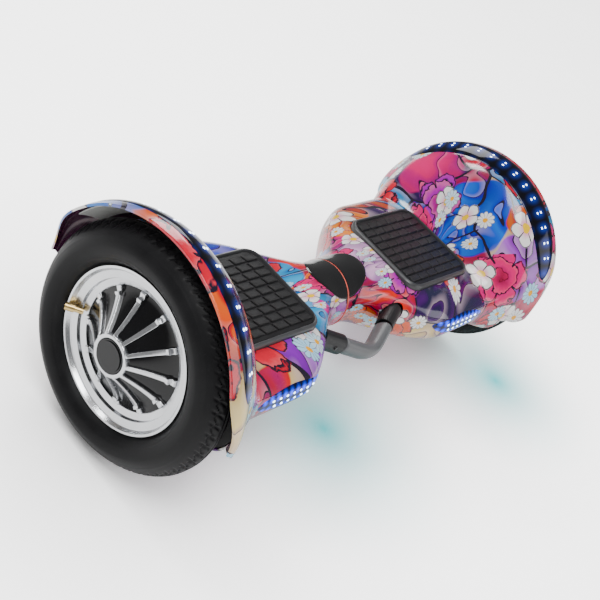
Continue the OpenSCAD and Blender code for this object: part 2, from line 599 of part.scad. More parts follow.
// ---------- between the halves ----------
module centre_shaft() {
  color([0.7, 0.71, 0.73]) on_axle() translate([0, 0, -neck_drop])
    ring_x(-shaft_half, shaft_r, shaft_bore_r, 2 * shaft_half);
}
module twist_bushes() {
  color([0.75, 0.6, 0.3]) on_axle() translate([0, 0, -neck_drop]) {
    for (x = [frame_x0, shaft_half - 24]) ring_x(x, shaft_r + bush_t, shaft_r + run, 20);
    ring_x(frame_x0 - 1.7, shaft_r + 6, shaft_r + run, 1.6);
    ring_x(shaft_half - 1.6, shaft_r + 5, shaft_r + run, 1.4);
  }
}
module seam_ring() {
  color([0.9, 0.4, 0.42]) on_axle() translate([0, 0, -neck_drop]) ring_x(-0.9, neck_r + 0.5, neck_r - 4.5, 1.8);
}
module battery_pack() {
  color([0.15, 0.35, 0.75]) on_axle() translate([-(pad_x + 32), 0, 0])
    block([-(frame_x1 - pad_x - 62), -34, post_z + 2.2], [-2, 34, plate_z0 - 0.4]);
}
module control_board() {
  x0 = pad_x + 32;
  color([0.1, 0.3, 0.5]) on_axle() {
    block([x0, -34, plate_z0 - 12], [x0 + 100, 34, plate_z0 - 10.4]);
    for (x = [x0 + 6, x0 + 94], y = [-28, 28]) translate([x, y, plate_z0 - 10.35]) cylinder(r = 3, h = 10.3);
    block([x0 + 14, -30, plate_z0 - 24], [x0 + 86, -14, plate_z0 - 12]);
    block([x0 + 20, 4, plate_z0 - 16], [x0 + 50, 26, plate_z0 - 12]);
    for (y = [4, 18]) translate([x0 + 70, y + 3, plate_z0 - 26]) cylinder(r = 6, h = 14);
  }
}
// The button and the charging inlet lie in the rear of the lower shells.
port_x = 150;
port_z = -26;
port_y = pod_w - 14;
module to_rear(x) { translate([x, port_y, port_z]) rotate([-90, 0, 0]) children(); }
module button_hole() { to_rear(port_x) translate([0, 0, -14]) cylinder(r = 9.6, h = 40); }
module power_button() {
  color([0.75, 0.76, 0.78]) on_axle() to_rear(-port_x) {
    cylinder(r = 9, h = 13.6);
    translate([0, 0, -6]) cylinder(r = 5, h = 7);
  }
}
module charge_hole() {
  to_rear(port_x) translate([0, 0, -14]) cylinder(r = 12, h = 40);
  // A notch over the hole lets the flap swing up.
  block([port_x - 9.5, pod_w - 12, port_z + 6], [port_x + 9.5, pod_w + 3, port_z + 15]);
}
module charge_socket() {
  color([0.5, 0.5, 0.52]) on_axle() to_rear(port_x) difference() {
    translate([0, 0, -10]) cylinder(r = 11.5, h = 19);
    translate([0, 0, -5]) cylinder(r = 6, h = 20);
  }
}
module charge_cap() {
  color([0.05, 0.05, 0.05]) on_axle() {
    to_rear(port_x) {
      translate([0, 0, 9.4]) cylinder(r = 11.6, h = 3);
      translate([0, 0, 5.4]) cylinder(r = 4.2, h = 5);
    }
    // The flap turns on this pin at its upper edge.
    translate([0, pod_w - 3.5, port_z + 11.6]) along_x(port_x - 6) cylinder(r = 1.3, h = 12);
  }
}

// ---------- handle ----------
// Oval sections along the path; the rings stand square to it and keep their height upright.
function bend_path() =
  let (a0 = asin(norm([leg_dir[1], leg_dir[2]])),
       apex = [handle_x, -handle_y, handle_z] - leg_dir * (handle_x / leg_dir[0]),
       down = [0, leg_dir[1], leg_dir[2]] / norm([leg_dir[1], leg_dir[2]]),
       mid = apex + down * (grip_bend / cos(a0)),
       turn = [for (i = [-5:5]) let (a = a0 * i / 5) mid + grip_bend * ([sin(a), 0, 0] - down * cos(a))])
  turn;
module handle_bar() {
  apex_path = bend_path();
  grip_x = handle_x - (boot_root + boot_len + mouth_gap) * leg_dir[0];
  far = boot_root + boot_len + mouth_gap;
  root = [handle_x, -handle_y, handle_z];
  flip = [[-1, 0, 0], [0, 1, 0], [0, 0, 1]];
  end_r = root - leg_dir * far;
  path = concat([flip * end_r, flip * (end_r - leg_dir * 10)], apex_path, [end_r - leg_dir * 10, end_r]);
  last = len(path) - 1;
  function unit(v) = v / norm(v);
  n = 20;
  rings = [for (i = [0:last]) let (
      d = unit(path[min(last, i + 1)] - path[max(0, i - 1)]),
      v = unit(cross(cross(d, [0, -leg_dir[2], leg_dir[1]]), d)), u = cross(d, v))
    for (k = [0:n - 1]) path[i] + grip_h / 2 * cos(360 * k / n) * v + grip_t / 2 * sin(360 * k / n) * u];
  faces = concat([[for (k = [0:n - 1]) k]],
    [for (i = [0:last - 1], k = [0:n - 1]) let (a = i * n + k, b = i * n + (k + 1) % n)
      each [[b, a, a + n], [b, a + n, b + n]]],
    [[for (k = [n - 1:-1:0]) last * n + k]]);
  color([0.42, 0.42, 0.44]) on_axle() difference() {
    union() {
      polyhedron(rings, faces, convexity = 6);
      for (m = [0, 1]) mirror([m, 0, 0]) on_leg(6) linear_extrude(far - 4) oval(spigot_h, spigot_t);
    }
    mirror([1, 0, 0]) pin_bore(pin_r + run, 40);
  }
}
// The pivot runs front to back through the boot and the spigot.
module pin_bore(r, l) {
  p = [handle_x, -handle_y, handle_z] - leg_dir * pin_at;
  translate(p + [0, l / 2, 0]) rotate([90, 0, 0]) cylinder(r = r, h = l);
}
module handle_boot(s, pin) {
  color([0.04, 0.04, 0.04]) side(s) {
    difference() {
      on_leg(0) linear_extrude(boot_root + boot_len) difference() {
        oval(grip_h, grip_t + 4);
        oval(grip_h - 2 * boot_wall, grip_t + 4 - 2 * boot_wall);
      }
      if (pin) pin_bore(pin_r + 0.02, 60);
    }
    if (pin) pin_bore(pin_r, 26);
  }
}
module cable_harness() {
  color([0.1, 0.1, 0.1]) on_axle() tube([[-121, 16, -33], [-114, 9, -30], [-108, 4, -25], [-102, 1, -18.5], [-95, 0, -12.5],
    [-88, 0, -9.8], [-82, 0, -9], [-62, 0, -9], [-42, 0, -9], [-22, 0, -9], [0, 0, -9], [22, 0, -9], [42, 0, -9], [62, 0, -9], [80, 0, -9]], 4, 10);
}

tyre(-1);  // left_tyre
inner_tube(-1);  // left_inner_tube
rim(-1);  // left_rim
hub_cover(-1);  // left_hub_cover
hub_cap(-1);  // left_hub_cap
motor_cover(-1);  // left_motor_cover
magnets(-1);  // left_magnets
wheel_bearings(-1);  // left_wheel_bearings
valve(-1);  // left_valve
cover_screws(-1);  // left_cover_screws
stator(-1);  // left_stator
windings(-1);  // left_windings
axle(-1);  // left_axle
upper_shell(-1);  // left_upper_shell
lower_shell(-1);  // left_lower_shell
fender_lens(-1);  // left_fender_lens
headlight_lens(-1);  // left_headlight_lens
light_boards(-1);  // left_light_boards
neck_collar(-1);  // left_neck_collar
frame(-1);  // left_frame
axle_clamp(-1);  // left_axle_clamp
fasteners(-1);  // left_fasteners
gyro_board(-1);  // left_gyro_board
foot_pad(-1);  // left_foot_pad
tyre(1);  // right_tyre
inner_tube(1);  // right_inner_tube
rim(1);  // right_rim
hub_cover(1);  // right_hub_cover
hub_cap(1);  // right_hub_cap
motor_cover(1);  // right_motor_cover
magnets(1);  // right_magnets
wheel_bearings(1);  // right_wheel_bearings
valve(1);  // right_valve
cover_screws(1);  // right_cover_screws
stator(1);  // right_stator
windings(1);  // right_windings
axle(1);  // right_axle
upper_shell(1);  // right_upper_shell
lower_shell(1);  // right_lower_shell
fender_lens(1);  // right_fender_lens
headlight_lens(1);  // right_headlight_lens
light_boards(1);  // right_light_boards
neck_collar(1);  // right_neck_collar
frame(1);  // right_frame
axle_clamp(1);  // right_axle_clamp
fasteners(1);  // right_fasteners
gyro_board(1);  // right_gyro_board
foot_pad(1);  // right_foot_pad
centre_shaft();
twist_bushes();
seam_ring();
battery_pack();
control_board();
power_button();
charge_socket();
charge_cap();
handle_bar();
handle_boot(-1, true);  // left_handle_boot
handle_boot(1, false);  // right_handle_boot
cable_harness();
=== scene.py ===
# %% [markdown]
# A self-balancing board with two motor wheels, a printed plastic body and a hinged middle.
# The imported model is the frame: it says where every part is and which body carries it.
# This lesson gives the frame its looks. Parts whose CAD shape is right keep it and get a
# material. The printed shells, tyres, hubs, pads, lights and the handle are worked out again
# here as smooth surfaces, because flat CAD facets would show in gloss plastic.

# %% Load the frame
import math

import bmesh
import bpy
import numpy as np
from mathutils import Matrix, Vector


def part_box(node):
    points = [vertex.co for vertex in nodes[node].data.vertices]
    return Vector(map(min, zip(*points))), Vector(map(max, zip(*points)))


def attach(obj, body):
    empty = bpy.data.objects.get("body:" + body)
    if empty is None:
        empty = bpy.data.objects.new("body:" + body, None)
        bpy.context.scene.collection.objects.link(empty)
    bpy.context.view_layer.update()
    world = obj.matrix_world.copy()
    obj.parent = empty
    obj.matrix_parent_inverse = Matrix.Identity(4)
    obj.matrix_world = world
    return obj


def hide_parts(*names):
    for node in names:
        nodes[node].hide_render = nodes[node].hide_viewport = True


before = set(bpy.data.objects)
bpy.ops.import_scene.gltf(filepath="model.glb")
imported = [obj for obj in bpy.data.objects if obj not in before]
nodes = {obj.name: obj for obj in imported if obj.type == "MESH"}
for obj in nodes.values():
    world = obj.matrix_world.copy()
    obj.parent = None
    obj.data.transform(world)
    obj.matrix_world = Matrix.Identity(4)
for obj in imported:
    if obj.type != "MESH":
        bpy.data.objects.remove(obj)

for start_name in ("Cube", "Light", "Camera"):
    start_object = bpy.data.objects.get(start_name)
    if start_object:
        bpy.data.objects.remove(start_object)
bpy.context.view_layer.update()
print("CAD nodes:", len(nodes))

# %% [markdown]
# Places come from the CAD boxes. Sizes below are millimetres measured from the wheel axle,
# which is easier to think in for a board this size, and they become metres in one place.

# %% Key sizes
MM = 0.001
tyre_low, tyre_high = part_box("right_tyre")
TYRE_R = (tyre_high.z - tyre_low.z) / 2 / MM
AXLE_Z = tyre_low.z / MM + TYRE_R
LENS_LOW, LENS_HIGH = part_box("right_fender_lens")
LAMP_LOW, LAMP_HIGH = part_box("right_headlight_lens")
PAD_LOW, PAD_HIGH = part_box("right_foot_pad")
SHELL_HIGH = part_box("right_upper_shell")[1]
WHEEL_X = 308.5
STRIP_X0, STRIP_X1, LIP_X = 283.0, 318.0, SHELL_HIGH.x / MM
END_X, FLARE_X = 272.0, 228.0
FENDER_R, FENDER_NECK_R = SHELL_HIGH.y / MM, 130.0
WALL = 2.6
print("tyre radius", round(TYRE_R, 1), "axle height", round(AXLE_Z, 1), "fender", round(FENDER_R, 1))

# %% [markdown]
# The camera stands to the left of the board, a little above it, and is rolled so that the
# board leans across the picture as it does when it is propped nose down.

# %% Camera
CAM_PLACE = (-0.9847, -0.4117, 0.7948)
CAM_AZIMUTH, CAM_ELEVATION, CAM_ROLL = (math.radians(a) for a in (-66.48, 33.32, 33.49))
back = np.array([math.sin(CAM_AZIMUTH) * math.cos(CAM_ELEVATION),
                 -math.cos(CAM_AZIMUTH) * math.cos(CAM_ELEVATION), math.sin(CAM_ELEVATION)])
level = np.array([math.cos(CAM_AZIMUTH), math.sin(CAM_AZIMUTH), 0.0])
up = np.cross(back, level)
cam_right = math.cos(CAM_ROLL) * level + math.sin(CAM_ROLL) * up
cam_up = -math.sin(CAM_ROLL) * level + math.cos(CAM_ROLL) * up
camera = bpy.data.objects.new("camera", bpy.data.cameras.new("camera"))
camera.data.lens, camera.data.sensor_width = 64.22, 36.0
camera.matrix_world = Matrix([list(row) + [place] for row, place in
                              zip(np.stack([cam_right, cam_up, back], axis=1), CAM_PLACE)] + [[0, 0, 0, 1]])
bpy.context.scene.collection.objects.link(camera)
bpy.context.scene.camera = camera
print("camera at", CAM_PLACE)

# %% [markdown]
# Every new piece is a grid of points from a formula. Two grids with a rim between them make
# a closed sheet, and a grid that joins up with itself makes a ring or a tube. The left half
# mirrors the right one, so normals are worked out again once the mesh is closed.

# %% Mesh helpers
def make_piece(name, points, faces, material, body, sharp=35.0, uv=None, replaces=()):
    """Puts points (k, 3) in mm from the axle and quads (f, 4) into a mesh, merges doubles, turns
    faces outwards, and lets the piece ride on its body."""
    mesh = bpy.data.meshes.new(name)
    place = np.asarray(points, float).reshape(-1, 3) * MM
    place[:, 2] += AXLE_Z * MM
    mesh.from_pydata(place, [], np.asarray(faces).tolist())
    if uv is not None:
        layer = mesh.uv_layers.new(name="UVMap")
        loops = np.empty(len(mesh.loops), int)
        mesh.loops.foreach_get("vertex_index", loops)
        layer.data.foreach_set("uv", np.asarray(uv, float).reshape(-1, 2)[loops].ravel())
    work = bmesh.new()
    work.from_mesh(mesh)
    bmesh.ops.remove_doubles(work, verts=work.verts, dist=2e-6)
    bmesh.ops.recalc_face_normals(work, faces=work.faces)
    work.to_mesh(mesh)
    work.free()
    mesh.shade_smooth()
    mesh.set_sharp_from_angle(angle=math.radians(sharp))
    mesh.materials.append(material)
    piece = bpy.data.objects.new(name, mesh)
    bpy.context.scene.collection.objects.link(piece)
    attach(piece, body)
    if replaces:
        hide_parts(*replaces)
    return piece


def grid_faces(n, m, wrap_n=False, wrap_m=False, start=0):
    """Quads of an n by m grid of points stored row by row, joined round where it wraps."""
    i, j = np.meshgrid(np.arange(n if wrap_n else n - 1), np.arange(m if wrap_m else m - 1), indexing="ij")
    a, b = i * m + j, (i + 1) % n * m + j
    c, d = (i + 1) % n * m + (j + 1) % m, i * m + (j + 1) % m
    return np.stack([a, b, c, d], axis=-1).reshape(-1, 4) + start


def closed_sheet(outer, inner):
    """Two grids (n, m, 3) as the faces of a plate, with quads between their four borders."""
    n, m = outer.shape[:2]
    half = n * m
    rim = np.concatenate([np.arange(m), np.arange(1, n) * m + m - 1,
                          (n - 1) * m + np.arange(m - 2, -1, -1), np.arange(n - 2, 0, -1) * m])
    nxt = np.roll(rim, -1)
    sides = np.stack([rim, nxt, nxt + half, rim + half], axis=-1)
    faces = np.concatenate([grid_faces(n, m), grid_faces(n, m, start=half)[:, ::-1], sides])
    return np.concatenate([outer.reshape(-1, 3), inner.reshape(-1, 3)]), faces


def revolve(profile, steps, side=1, bump=None):
    """A closed outline (k, 2) of radius and x, carried round the axle in equal steps."""
    profile = np.asarray(profile, float)
    turn = np.linspace(0, 2 * np.pi, steps, endpoint=False)[:, None]
    radius = np.broadcast_to(profile[:, 0], (steps, len(profile)))
    if bump is not None:
        radius = radius + bump
    x = np.broadcast_to((WHEEL_X + profile[:, 1]) * side, radius.shape)
    points = np.stack([x, -radius * np.sin(turn), radius * np.cos(turn)], axis=-1)
    return points, grid_faces(steps, len(profile), True, True)


SIDES = (("right", 1), ("left", -1))
print("helpers ready")

# %% [markdown]
# Each finish starts from one shader group, the grain. It gives a slow cloudy variation, fine
# scratches and a height for bump, all from Object coordinates, so the pattern stays on the
# piece from every side. The Principled shader itself stays in each material.

# %% Grain group
def add_node(tree, kind, label="", **inputs):
    """A shader node with its inputs set by name, or linked where the value is a socket."""
    node = tree.nodes.new(kind)
    node.label = label
    for key, value in inputs.items():
        socket = node.inputs[int(key[1:])] if key[0] == "i" and key[1:].isdigit() else node.inputs[key.replace("_", " ")]
        if isinstance(value, bpy.types.NodeSocket):
            tree.links.new(value, socket)
        else:
            socket.default_value = value
    return node


def calc(tree, operation, a, b=0.0, c=0.0):
    """One Math node; returns its output."""
    node = tree.nodes.new("ShaderNodeMath")
    node.operation = operation
    for socket, value in zip(node.inputs, (a, b, c)):
        if isinstance(value, bpy.types.NodeSocket):
            tree.links.new(value, socket)
        else:
            socket.default_value = value
    return node.outputs[0]


def step_up(tree, value, low, high):
    """0 below low, 1 above high and a straight ramp between."""
    node = add_node(tree, "ShaderNodeMapRange", i0=value, i1=low, i2=high)
    return node.outputs[0]


def mix_colour(tree, factor, a, b, blend="MIX"):
    node = tree.nodes.new("ShaderNodeMix")
    node.data_type, node.blend_type = "RGBA", blend
    for socket, value in ((node.inputs[0], factor), (node.inputs[6], a), (node.inputs[7], b)):
        if isinstance(value, bpy.types.NodeSocket):
            tree.links.new(value, socket)
        else:
            socket.default_value = value
    return node.outputs[2]


def new_group(name, ins, outs):
    """An empty node group with float, vector or colour sockets; returns tree, input, output."""
    tree = bpy.data.node_groups.new(name, "ShaderNodeTree")
    kinds = {"f": "NodeSocketFloat", "v": "NodeSocketVector", "c": "NodeSocketColor"}
    for label, kind in ins:
        tree.interface.new_socket(name=label, in_out="INPUT", socket_type=kinds[kind])
    for label, kind in outs:
        tree.interface.new_socket(name=label, in_out="OUTPUT", socket_type=kinds[kind])
    return tree, tree.nodes.new("NodeGroupInput"), tree.nodes.new("NodeGroupOutput")


grain, g_in, g_out = new_group("grain", [("Vector", "v"), ("Size", "f")],
                               [("Cloud", "f"), ("Fleck", "f"), ("Scratch", "f")])
small = add_node(grain, "ShaderNodeVectorMath", "scaled place")
small.operation = "SCALE"
grain.links.new(g_in.outputs["Vector"], small.inputs[0])
grain.links.new(g_in.outputs["Size"], small.inputs["Scale"])
cloud = add_node(grain, "ShaderNodeTexNoise", "cloud", Vector=small.outputs[0], Scale=0.08, Detail=4.0)
fleck = add_node(grain, "ShaderNodeTexNoise", "fleck", Vector=small.outputs[0], Scale=3.0, Detail=3.0)
stretch = add_node(grain, "ShaderNodeMapping", "stretched", Vector=small.outputs[0], Scale=(0.2, 4.0, 0.6),
                   Rotation=(0.3, 0.2, 0.6))
scratch = add_node(grain, "ShaderNodeTexNoise", "scratch", Vector=stretch.outputs[0], Scale=1.2, Detail=6.0)
thin = step_up(grain, scratch.outputs[0], 0.66, 0.70)
for socket, value in zip(g_out.inputs, (cloud.outputs[0], fleck.outputs[0], thin)):
    grain.links.new(value, socket)
print("grain group has", len(grain.nodes), "nodes")


# %% [markdown]
# A plain finish is two near colours mixed by the cloud, a roughness range, a bump from the
# flecks and a few scratches. Rubber, steel, die-cast metal and moulded plastic differ only
# in these numbers.

# %% Plain finishes
def start_material(name, size):
    """A material with its grain group placed; returns what a finish needs."""
    material = bpy.data.materials.new(name)
    material.use_nodes = True
    tree = material.node_tree
    shader = tree.nodes["Principled BSDF"]
    place = tree.nodes.new("ShaderNodeTexCoord")
    group = tree.nodes.new("ShaderNodeGroup")
    group.node_tree = grain
    tree.links.new(place.outputs["Object"], group.inputs["Vector"])
    group.inputs["Size"].default_value = size
    return material, tree, shader, place, group


def set_surface(tree, shader, group, rough, bump, depth=0.0003):
    """Roughness from cloud and scratches, and a bump from the flecks."""
    dull = calc(tree, "MULTIPLY_ADD", group.outputs["Cloud"], rough[1] - rough[0], rough[0])
    tree.links.new(calc(tree, "MULTIPLY_ADD", group.outputs["Scratch"], 0.12, dull), shader.inputs["Roughness"])
    tree.links.new(add_node(tree, "ShaderNodeBump", "grain bump", Height=group.outputs["Fleck"],
                            Strength=bump, Distance=depth).outputs[0], shader.inputs["Normal"])


def plain(name, dark, light, rough, size=600.0, bump=0.2, metal=0.0, coat=0.0, spec=0.5):
    """A finish from two colours and the grain."""
    material, tree, shader, place, group = start_material(name, size)
    colour = mix_colour(tree, group.outputs["Cloud"], dark + (1,), light + (1,))
    edge = tuple(min(1.0, 1.35 * c + 0.02) for c in light)
    colour = mix_colour(tree, calc(tree, "MULTIPLY", group.outputs["Scratch"], 0.35), colour, edge + (1,))
    tree.links.new(colour, shader.inputs["Base Color"])
    set_surface(tree, shader, group, rough, bump)
    shader.inputs["Metallic"].default_value = metal
    shader.inputs["Coat Weight"].default_value = coat
    shader.inputs["Coat Roughness"].default_value = 0.08
    shader.inputs["Specular IOR Level"].default_value = spec
    return material


finish = {
    "tyre_rubber": plain("tyre_rubber", (0.004, 0.004, 0.0045), (0.012, 0.012, 0.013), (0.38, 0.52), 500, 0.2, spec=0.14),
    "black_rubber": plain("black_rubber", (0.015, 0.015, 0.015), (0.03, 0.03, 0.03), (0.55, 0.75)),
    "polished_rim": plain("polished_rim", (0.60, 0.61, 0.63), (0.80, 0.81, 0.83), (0.16, 0.3), 500, 0.1, 1.0),
    "black_hub": plain("black_hub", (0.002, 0.002, 0.0025), (0.006, 0.006, 0.007), (0.10, 0.2), 500, 0.05, 0.0, 0.15, spec=0.3),
    "cast_cover": plain("cast_cover", (0.12, 0.12, 0.125), (0.2, 0.2, 0.21), (0.4, 0.55), 400, 0.4, 0.9),
    "steel": plain("steel", (0.45, 0.46, 0.48), (0.62, 0.63, 0.65), (0.25, 0.4), 500, 0.15, 1.0),
    "valve_brass": plain("valve_brass", (0.55, 0.38, 0.14), (0.75, 0.56, 0.25), (0.22, 0.38), 800, 0.2, 1.0),
    "stator_iron": plain("stator_iron", (0.2, 0.2, 0.21), (0.3, 0.3, 0.32), (0.4, 0.55), 700, 0.3, 0.9),
    "copper": plain("copper", (0.55, 0.22, 0.1), (0.75, 0.36, 0.18), (0.25, 0.4), 900, 0.5, 1.0),
    "led_board": plain("led_board", (0.5, 0.52, 0.5), (0.65, 0.66, 0.64), (0.35, 0.5), 900, 0.2),
    "gloss_black": plain("gloss_black", (0.002, 0.002, 0.0025), (0.006, 0.006, 0.007), (0.08, 0.16), 300, 0.05, 0.0, 0.5),
    "die_cast": plain("die_cast", (0.42, 0.43, 0.44), (0.55, 0.56, 0.57), (0.4, 0.55), 400, 0.45, 0.9),
    "circuit_board": plain("circuit_board", (0.02, 0.13, 0.06), (0.03, 0.2, 0.09), (0.3, 0.5), 900, 0.3),
    "pad_rubber": plain("pad_rubber", (0.005, 0.005, 0.0055), (0.013, 0.013, 0.014), (0.3, 0.46), 700, 0.3, spec=0.3),
    "pad_edge": plain("pad_edge", (0.03, 0.031, 0.033), (0.06, 0.062, 0.065), (0.28, 0.4), 600, 0.2),
    "bush_brass": plain("bush_brass", (0.5, 0.36, 0.15), (0.68, 0.5, 0.24), (0.25, 0.4), 700, 0.2, 1.0),
    "seam_ring": plain("seam_ring", (0.72, 0.10, 0.07), (0.85, 0.17, 0.12), (0.3, 0.42), 500, 0.1, 0.0, 0.3),
    "battery_wrap": plain("battery_wrap", (0.02, 0.12, 0.4), (0.03, 0.17, 0.5), (0.25, 0.4), 300, 0.3),
    "button_metal": plain("button_metal", (0.5, 0.51, 0.53), (0.66, 0.67, 0.69), (0.22, 0.35), 700, 0.15, 1.0),
    "handle_rubber": plain("handle_rubber", (0.085, 0.087, 0.092), (0.125, 0.128, 0.134), (0.28, 0.4), 900, 0.25),
    "boot_rubber": plain("boot_rubber", (0.004, 0.004, 0.005), (0.012, 0.012, 0.013), (0.38, 0.52), 800, 0.3),
}
print("plain finishes:", len(finish))

# %% [markdown]
# The body is dipped in a busy floral print, the kind that a film leaves on moulded plastic.
# A flat print wraps a round body when each point is given two new coordinates: how far it
# lies along the board, counting outwards on the fender's face, and how far round the axle.
# Flowers are then drawn in cells: the place inside a cell gives a distance and an angle.

# %% Print coordinates
wrap, w_in, w_out = new_group("print_wrap", [("Vector", "v")], [("Plane", "v")])
split = add_node(wrap, "ShaderNodeSeparateXYZ", "place", Vector=w_in.outputs[0])
height = calc(wrap, "SUBTRACT", split.outputs[2], AXLE_Z * MM)
depth_y = calc(wrap, "MULTIPLY", split.outputs[1], -1.0)
around = calc(wrap, "ARCTAN2", depth_y, height)
far = calc(wrap, "SQRT", calc(wrap, "ADD", calc(wrap, "MULTIPLY", height, height), calc(wrap, "MULTIPLY", depth_y, depth_y)))
outward = calc(wrap, "MULTIPLY", calc(wrap, "SIGN", split.outputs[0]), 0.75)
along = calc(wrap, "MULTIPLY_ADD", far, outward, split.outputs[0])
plane = add_node(wrap, "ShaderNodeCombineXYZ", "print place", X=along, Y=calc(wrap, "MULTIPLY", around, 0.115))
wrap.links.new(plane.outputs[0], w_out.inputs[0])

# %% Flower group
flower, f_in, f_out = new_group("flower",
                                [("Plane", "v"), ("Cells", "f"), ("Petals", "f"), ("Radius", "f"), ("Share", "f")],
                                [("Mask", "f"), ("Ink", "f"), ("Heart", "f"), ("Depth", "f"), ("Luck", "f"), ("Swirl", "f")])
cell = add_node(flower, "ShaderNodeTexVoronoi", "one flower a cell", Vector=f_in.outputs["Plane"],
                Scale=f_in.outputs["Cells"], Randomness=0.72)
cell.voronoi_dimensions = "2D"
away = add_node(flower, "ShaderNodeVectorMath", "from its middle", i0=f_in.outputs["Plane"], i1=cell.outputs["Position"])
away.operation = "SUBTRACT"
at = add_node(flower, "ShaderNodeSeparateXYZ", "", Vector=away.outputs[0])
luck = add_node(flower, "ShaderNodeSeparateColor", "chance", Color=cell.outputs["Color"])
rho = calc(flower, "SQRT", calc(flower, "ADD", calc(flower, "MULTIPLY", at.outputs[0], at.outputs[0]),
                                calc(flower, "MULTIPLY", at.outputs[1], at.outputs[1])))
rho = calc(flower, "DIVIDE", rho, f_in.outputs["Radius"])
turn = calc(flower, "MULTIPLY_ADD", luck.outputs[0], 6.28, calc(flower, "ARCTAN2", at.outputs[1], at.outputs[0]))
wobble = add_node(flower, "ShaderNodeTexNoise", "uneven edge", Vector=f_in.outputs["Plane"], Scale=90.0, Detail=2.0)
rho = calc(flower, "MULTIPLY_ADD", calc(flower, "SUBTRACT", wobble.outputs[0], 0.5), 0.35, rho)
lobe = calc(flower, "ABSOLUTE", calc(flower, "COSINE", calc(flower, "MULTIPLY", turn, calc(flower, "DIVIDE", f_in.outputs["Petals"], 2.0))))
edge_at = calc(flower, "MULTIPLY_ADD", calc(flower, "POWER", lobe, 0.5), 0.38, 0.62)
inside = calc(flower, "SUBTRACT", edge_at, rho)
shown = calc(flower, "LESS_THAN", luck.outputs[1], f_in.outputs["Share"])
mask = calc(flower, "MULTIPLY", step_up(flower, inside, 0.0, 0.03), shown)
outline = calc(flower, "MULTIPLY", calc(flower, "SUBTRACT", 1.0, step_up(flower, inside, 0.06, 0.1)), mask)
between = calc(flower, "MULTIPLY", calc(flower, "LESS_THAN", lobe, 0.16), calc(flower, "GREATER_THAN", rho, 0.22))
ink = calc(flower, "MULTIPLY", calc(flower, "MAXIMUM", outline, between), mask)
heart = calc(flower, "MULTIPLY", calc(flower, "LESS_THAN", rho, 0.24), mask)
swirl = calc(flower, "FRACT", calc(flower, "ADD", calc(flower, "MULTIPLY", rho, 2.6), calc(
    flower, "MULTIPLY_ADD", calc(flower, "SINE", calc(flower, "MULTIPLY", turn, 3.0)), 0.14,
    calc(flower, "MULTIPLY", turn, 0.159))))
for socket, value in zip(f_out.inputs, (mask, ink, heart, rho, luck.outputs[2], swirl)):
    flower.links.new(value, socket)
print("flower group has", len(flower.nodes), "nodes")

# %% Printed shell finish
PALETTE = [(0.42, 0.16, 0.66), (0.74, 0.02, 0.20), (0.02, 0.09, 0.55), (0.02, 0.36, 0.66), (0.85, 0.17, 0.02),
           (0.80, 0.10, 0.08), (0.50, 0.01, 0.03), (0.16, 0.02, 0.26), (0.90, 0.72, 0.36), (0.66, 0.30, 0.72),
           (0.02, 0.02, 0.05)]
FLOWER_INKS = [(0.55, 0.01, 0.03), (0.75, 0.03, 0.22), (0.85, 0.16, 0.06), (0.34, 0.03, 0.42)]
INK = (0.012, 0.008, 0.02, 1)
WHITE = (0.93, 0.91, 0.90, 1)


# Large airbrushed areas: middle in metres, reach in metres and colour.
SPOTS = [((0.25, 0.09, 0.22), 0.06, (0.78, 0.01, 0.16)), ((0.25, -0.01, 0.20), 0.055, (0.02, 0.16, 0.75)),
         ((0.27, -0.06, 0.245), 0.032, (0.88, 0.20, 0.01)), ((0.27, -0.11, 0.19), 0.05, (0.52, 0.24, 0.70)),
         ((0.25, -0.12, 0.11), 0.045, (0.85, 0.09, 0.10)), ((0.11, 0.08, 0.14), 0.05, (0.90, 0.26, 0.01)),
         ((0.07, 0.0, 0.14), 0.045, (0.75, 0.48, 0.72)), ((-0.10, 0.02, 0.14), 0.045, (0.02, 0.42, 0.78)),
         ((-0.07, -0.04, 0.13), 0.03, (0.80, 0.03, 0.32)), ((-0.20, -0.10, 0.12), 0.04, (0.80, 0.05, 0.05)),
         ((-0.30, 0.10, 0.20), 0.07, (0.02, 0.22, 0.72)), ((-0.30, -0.06, 0.25), 0.06, (0.82, 0.12, 0.02))]


def colour_steps(tree, value, colours):
    """A colour ramp that jumps from one colour to the next."""
    ramp = tree.nodes.new("ShaderNodeValToRGB")
    ramp.color_ramp.interpolation = "CONSTANT"
    tree.links.new(value, ramp.inputs[0])
    for i, colour in enumerate(colours):
        stops = ramp.color_ramp.elements
        stop = stops[i] if i < 2 else stops.new(i / len(colours))
        stop.position, stop.color = i / len(colours), colour + (1,)
    return ramp.outputs[0]


def place_flower(tree, where, cells, petals, radius, share):
    node = tree.nodes.new("ShaderNodeGroup")
    node.node_tree = flower
    tree.links.new(where, node.inputs["Plane"])
    for label, value in (("Cells", cells), ("Petals", petals), ("Radius", radius), ("Share", share)):
        node.inputs[label].default_value = value
    return node.outputs


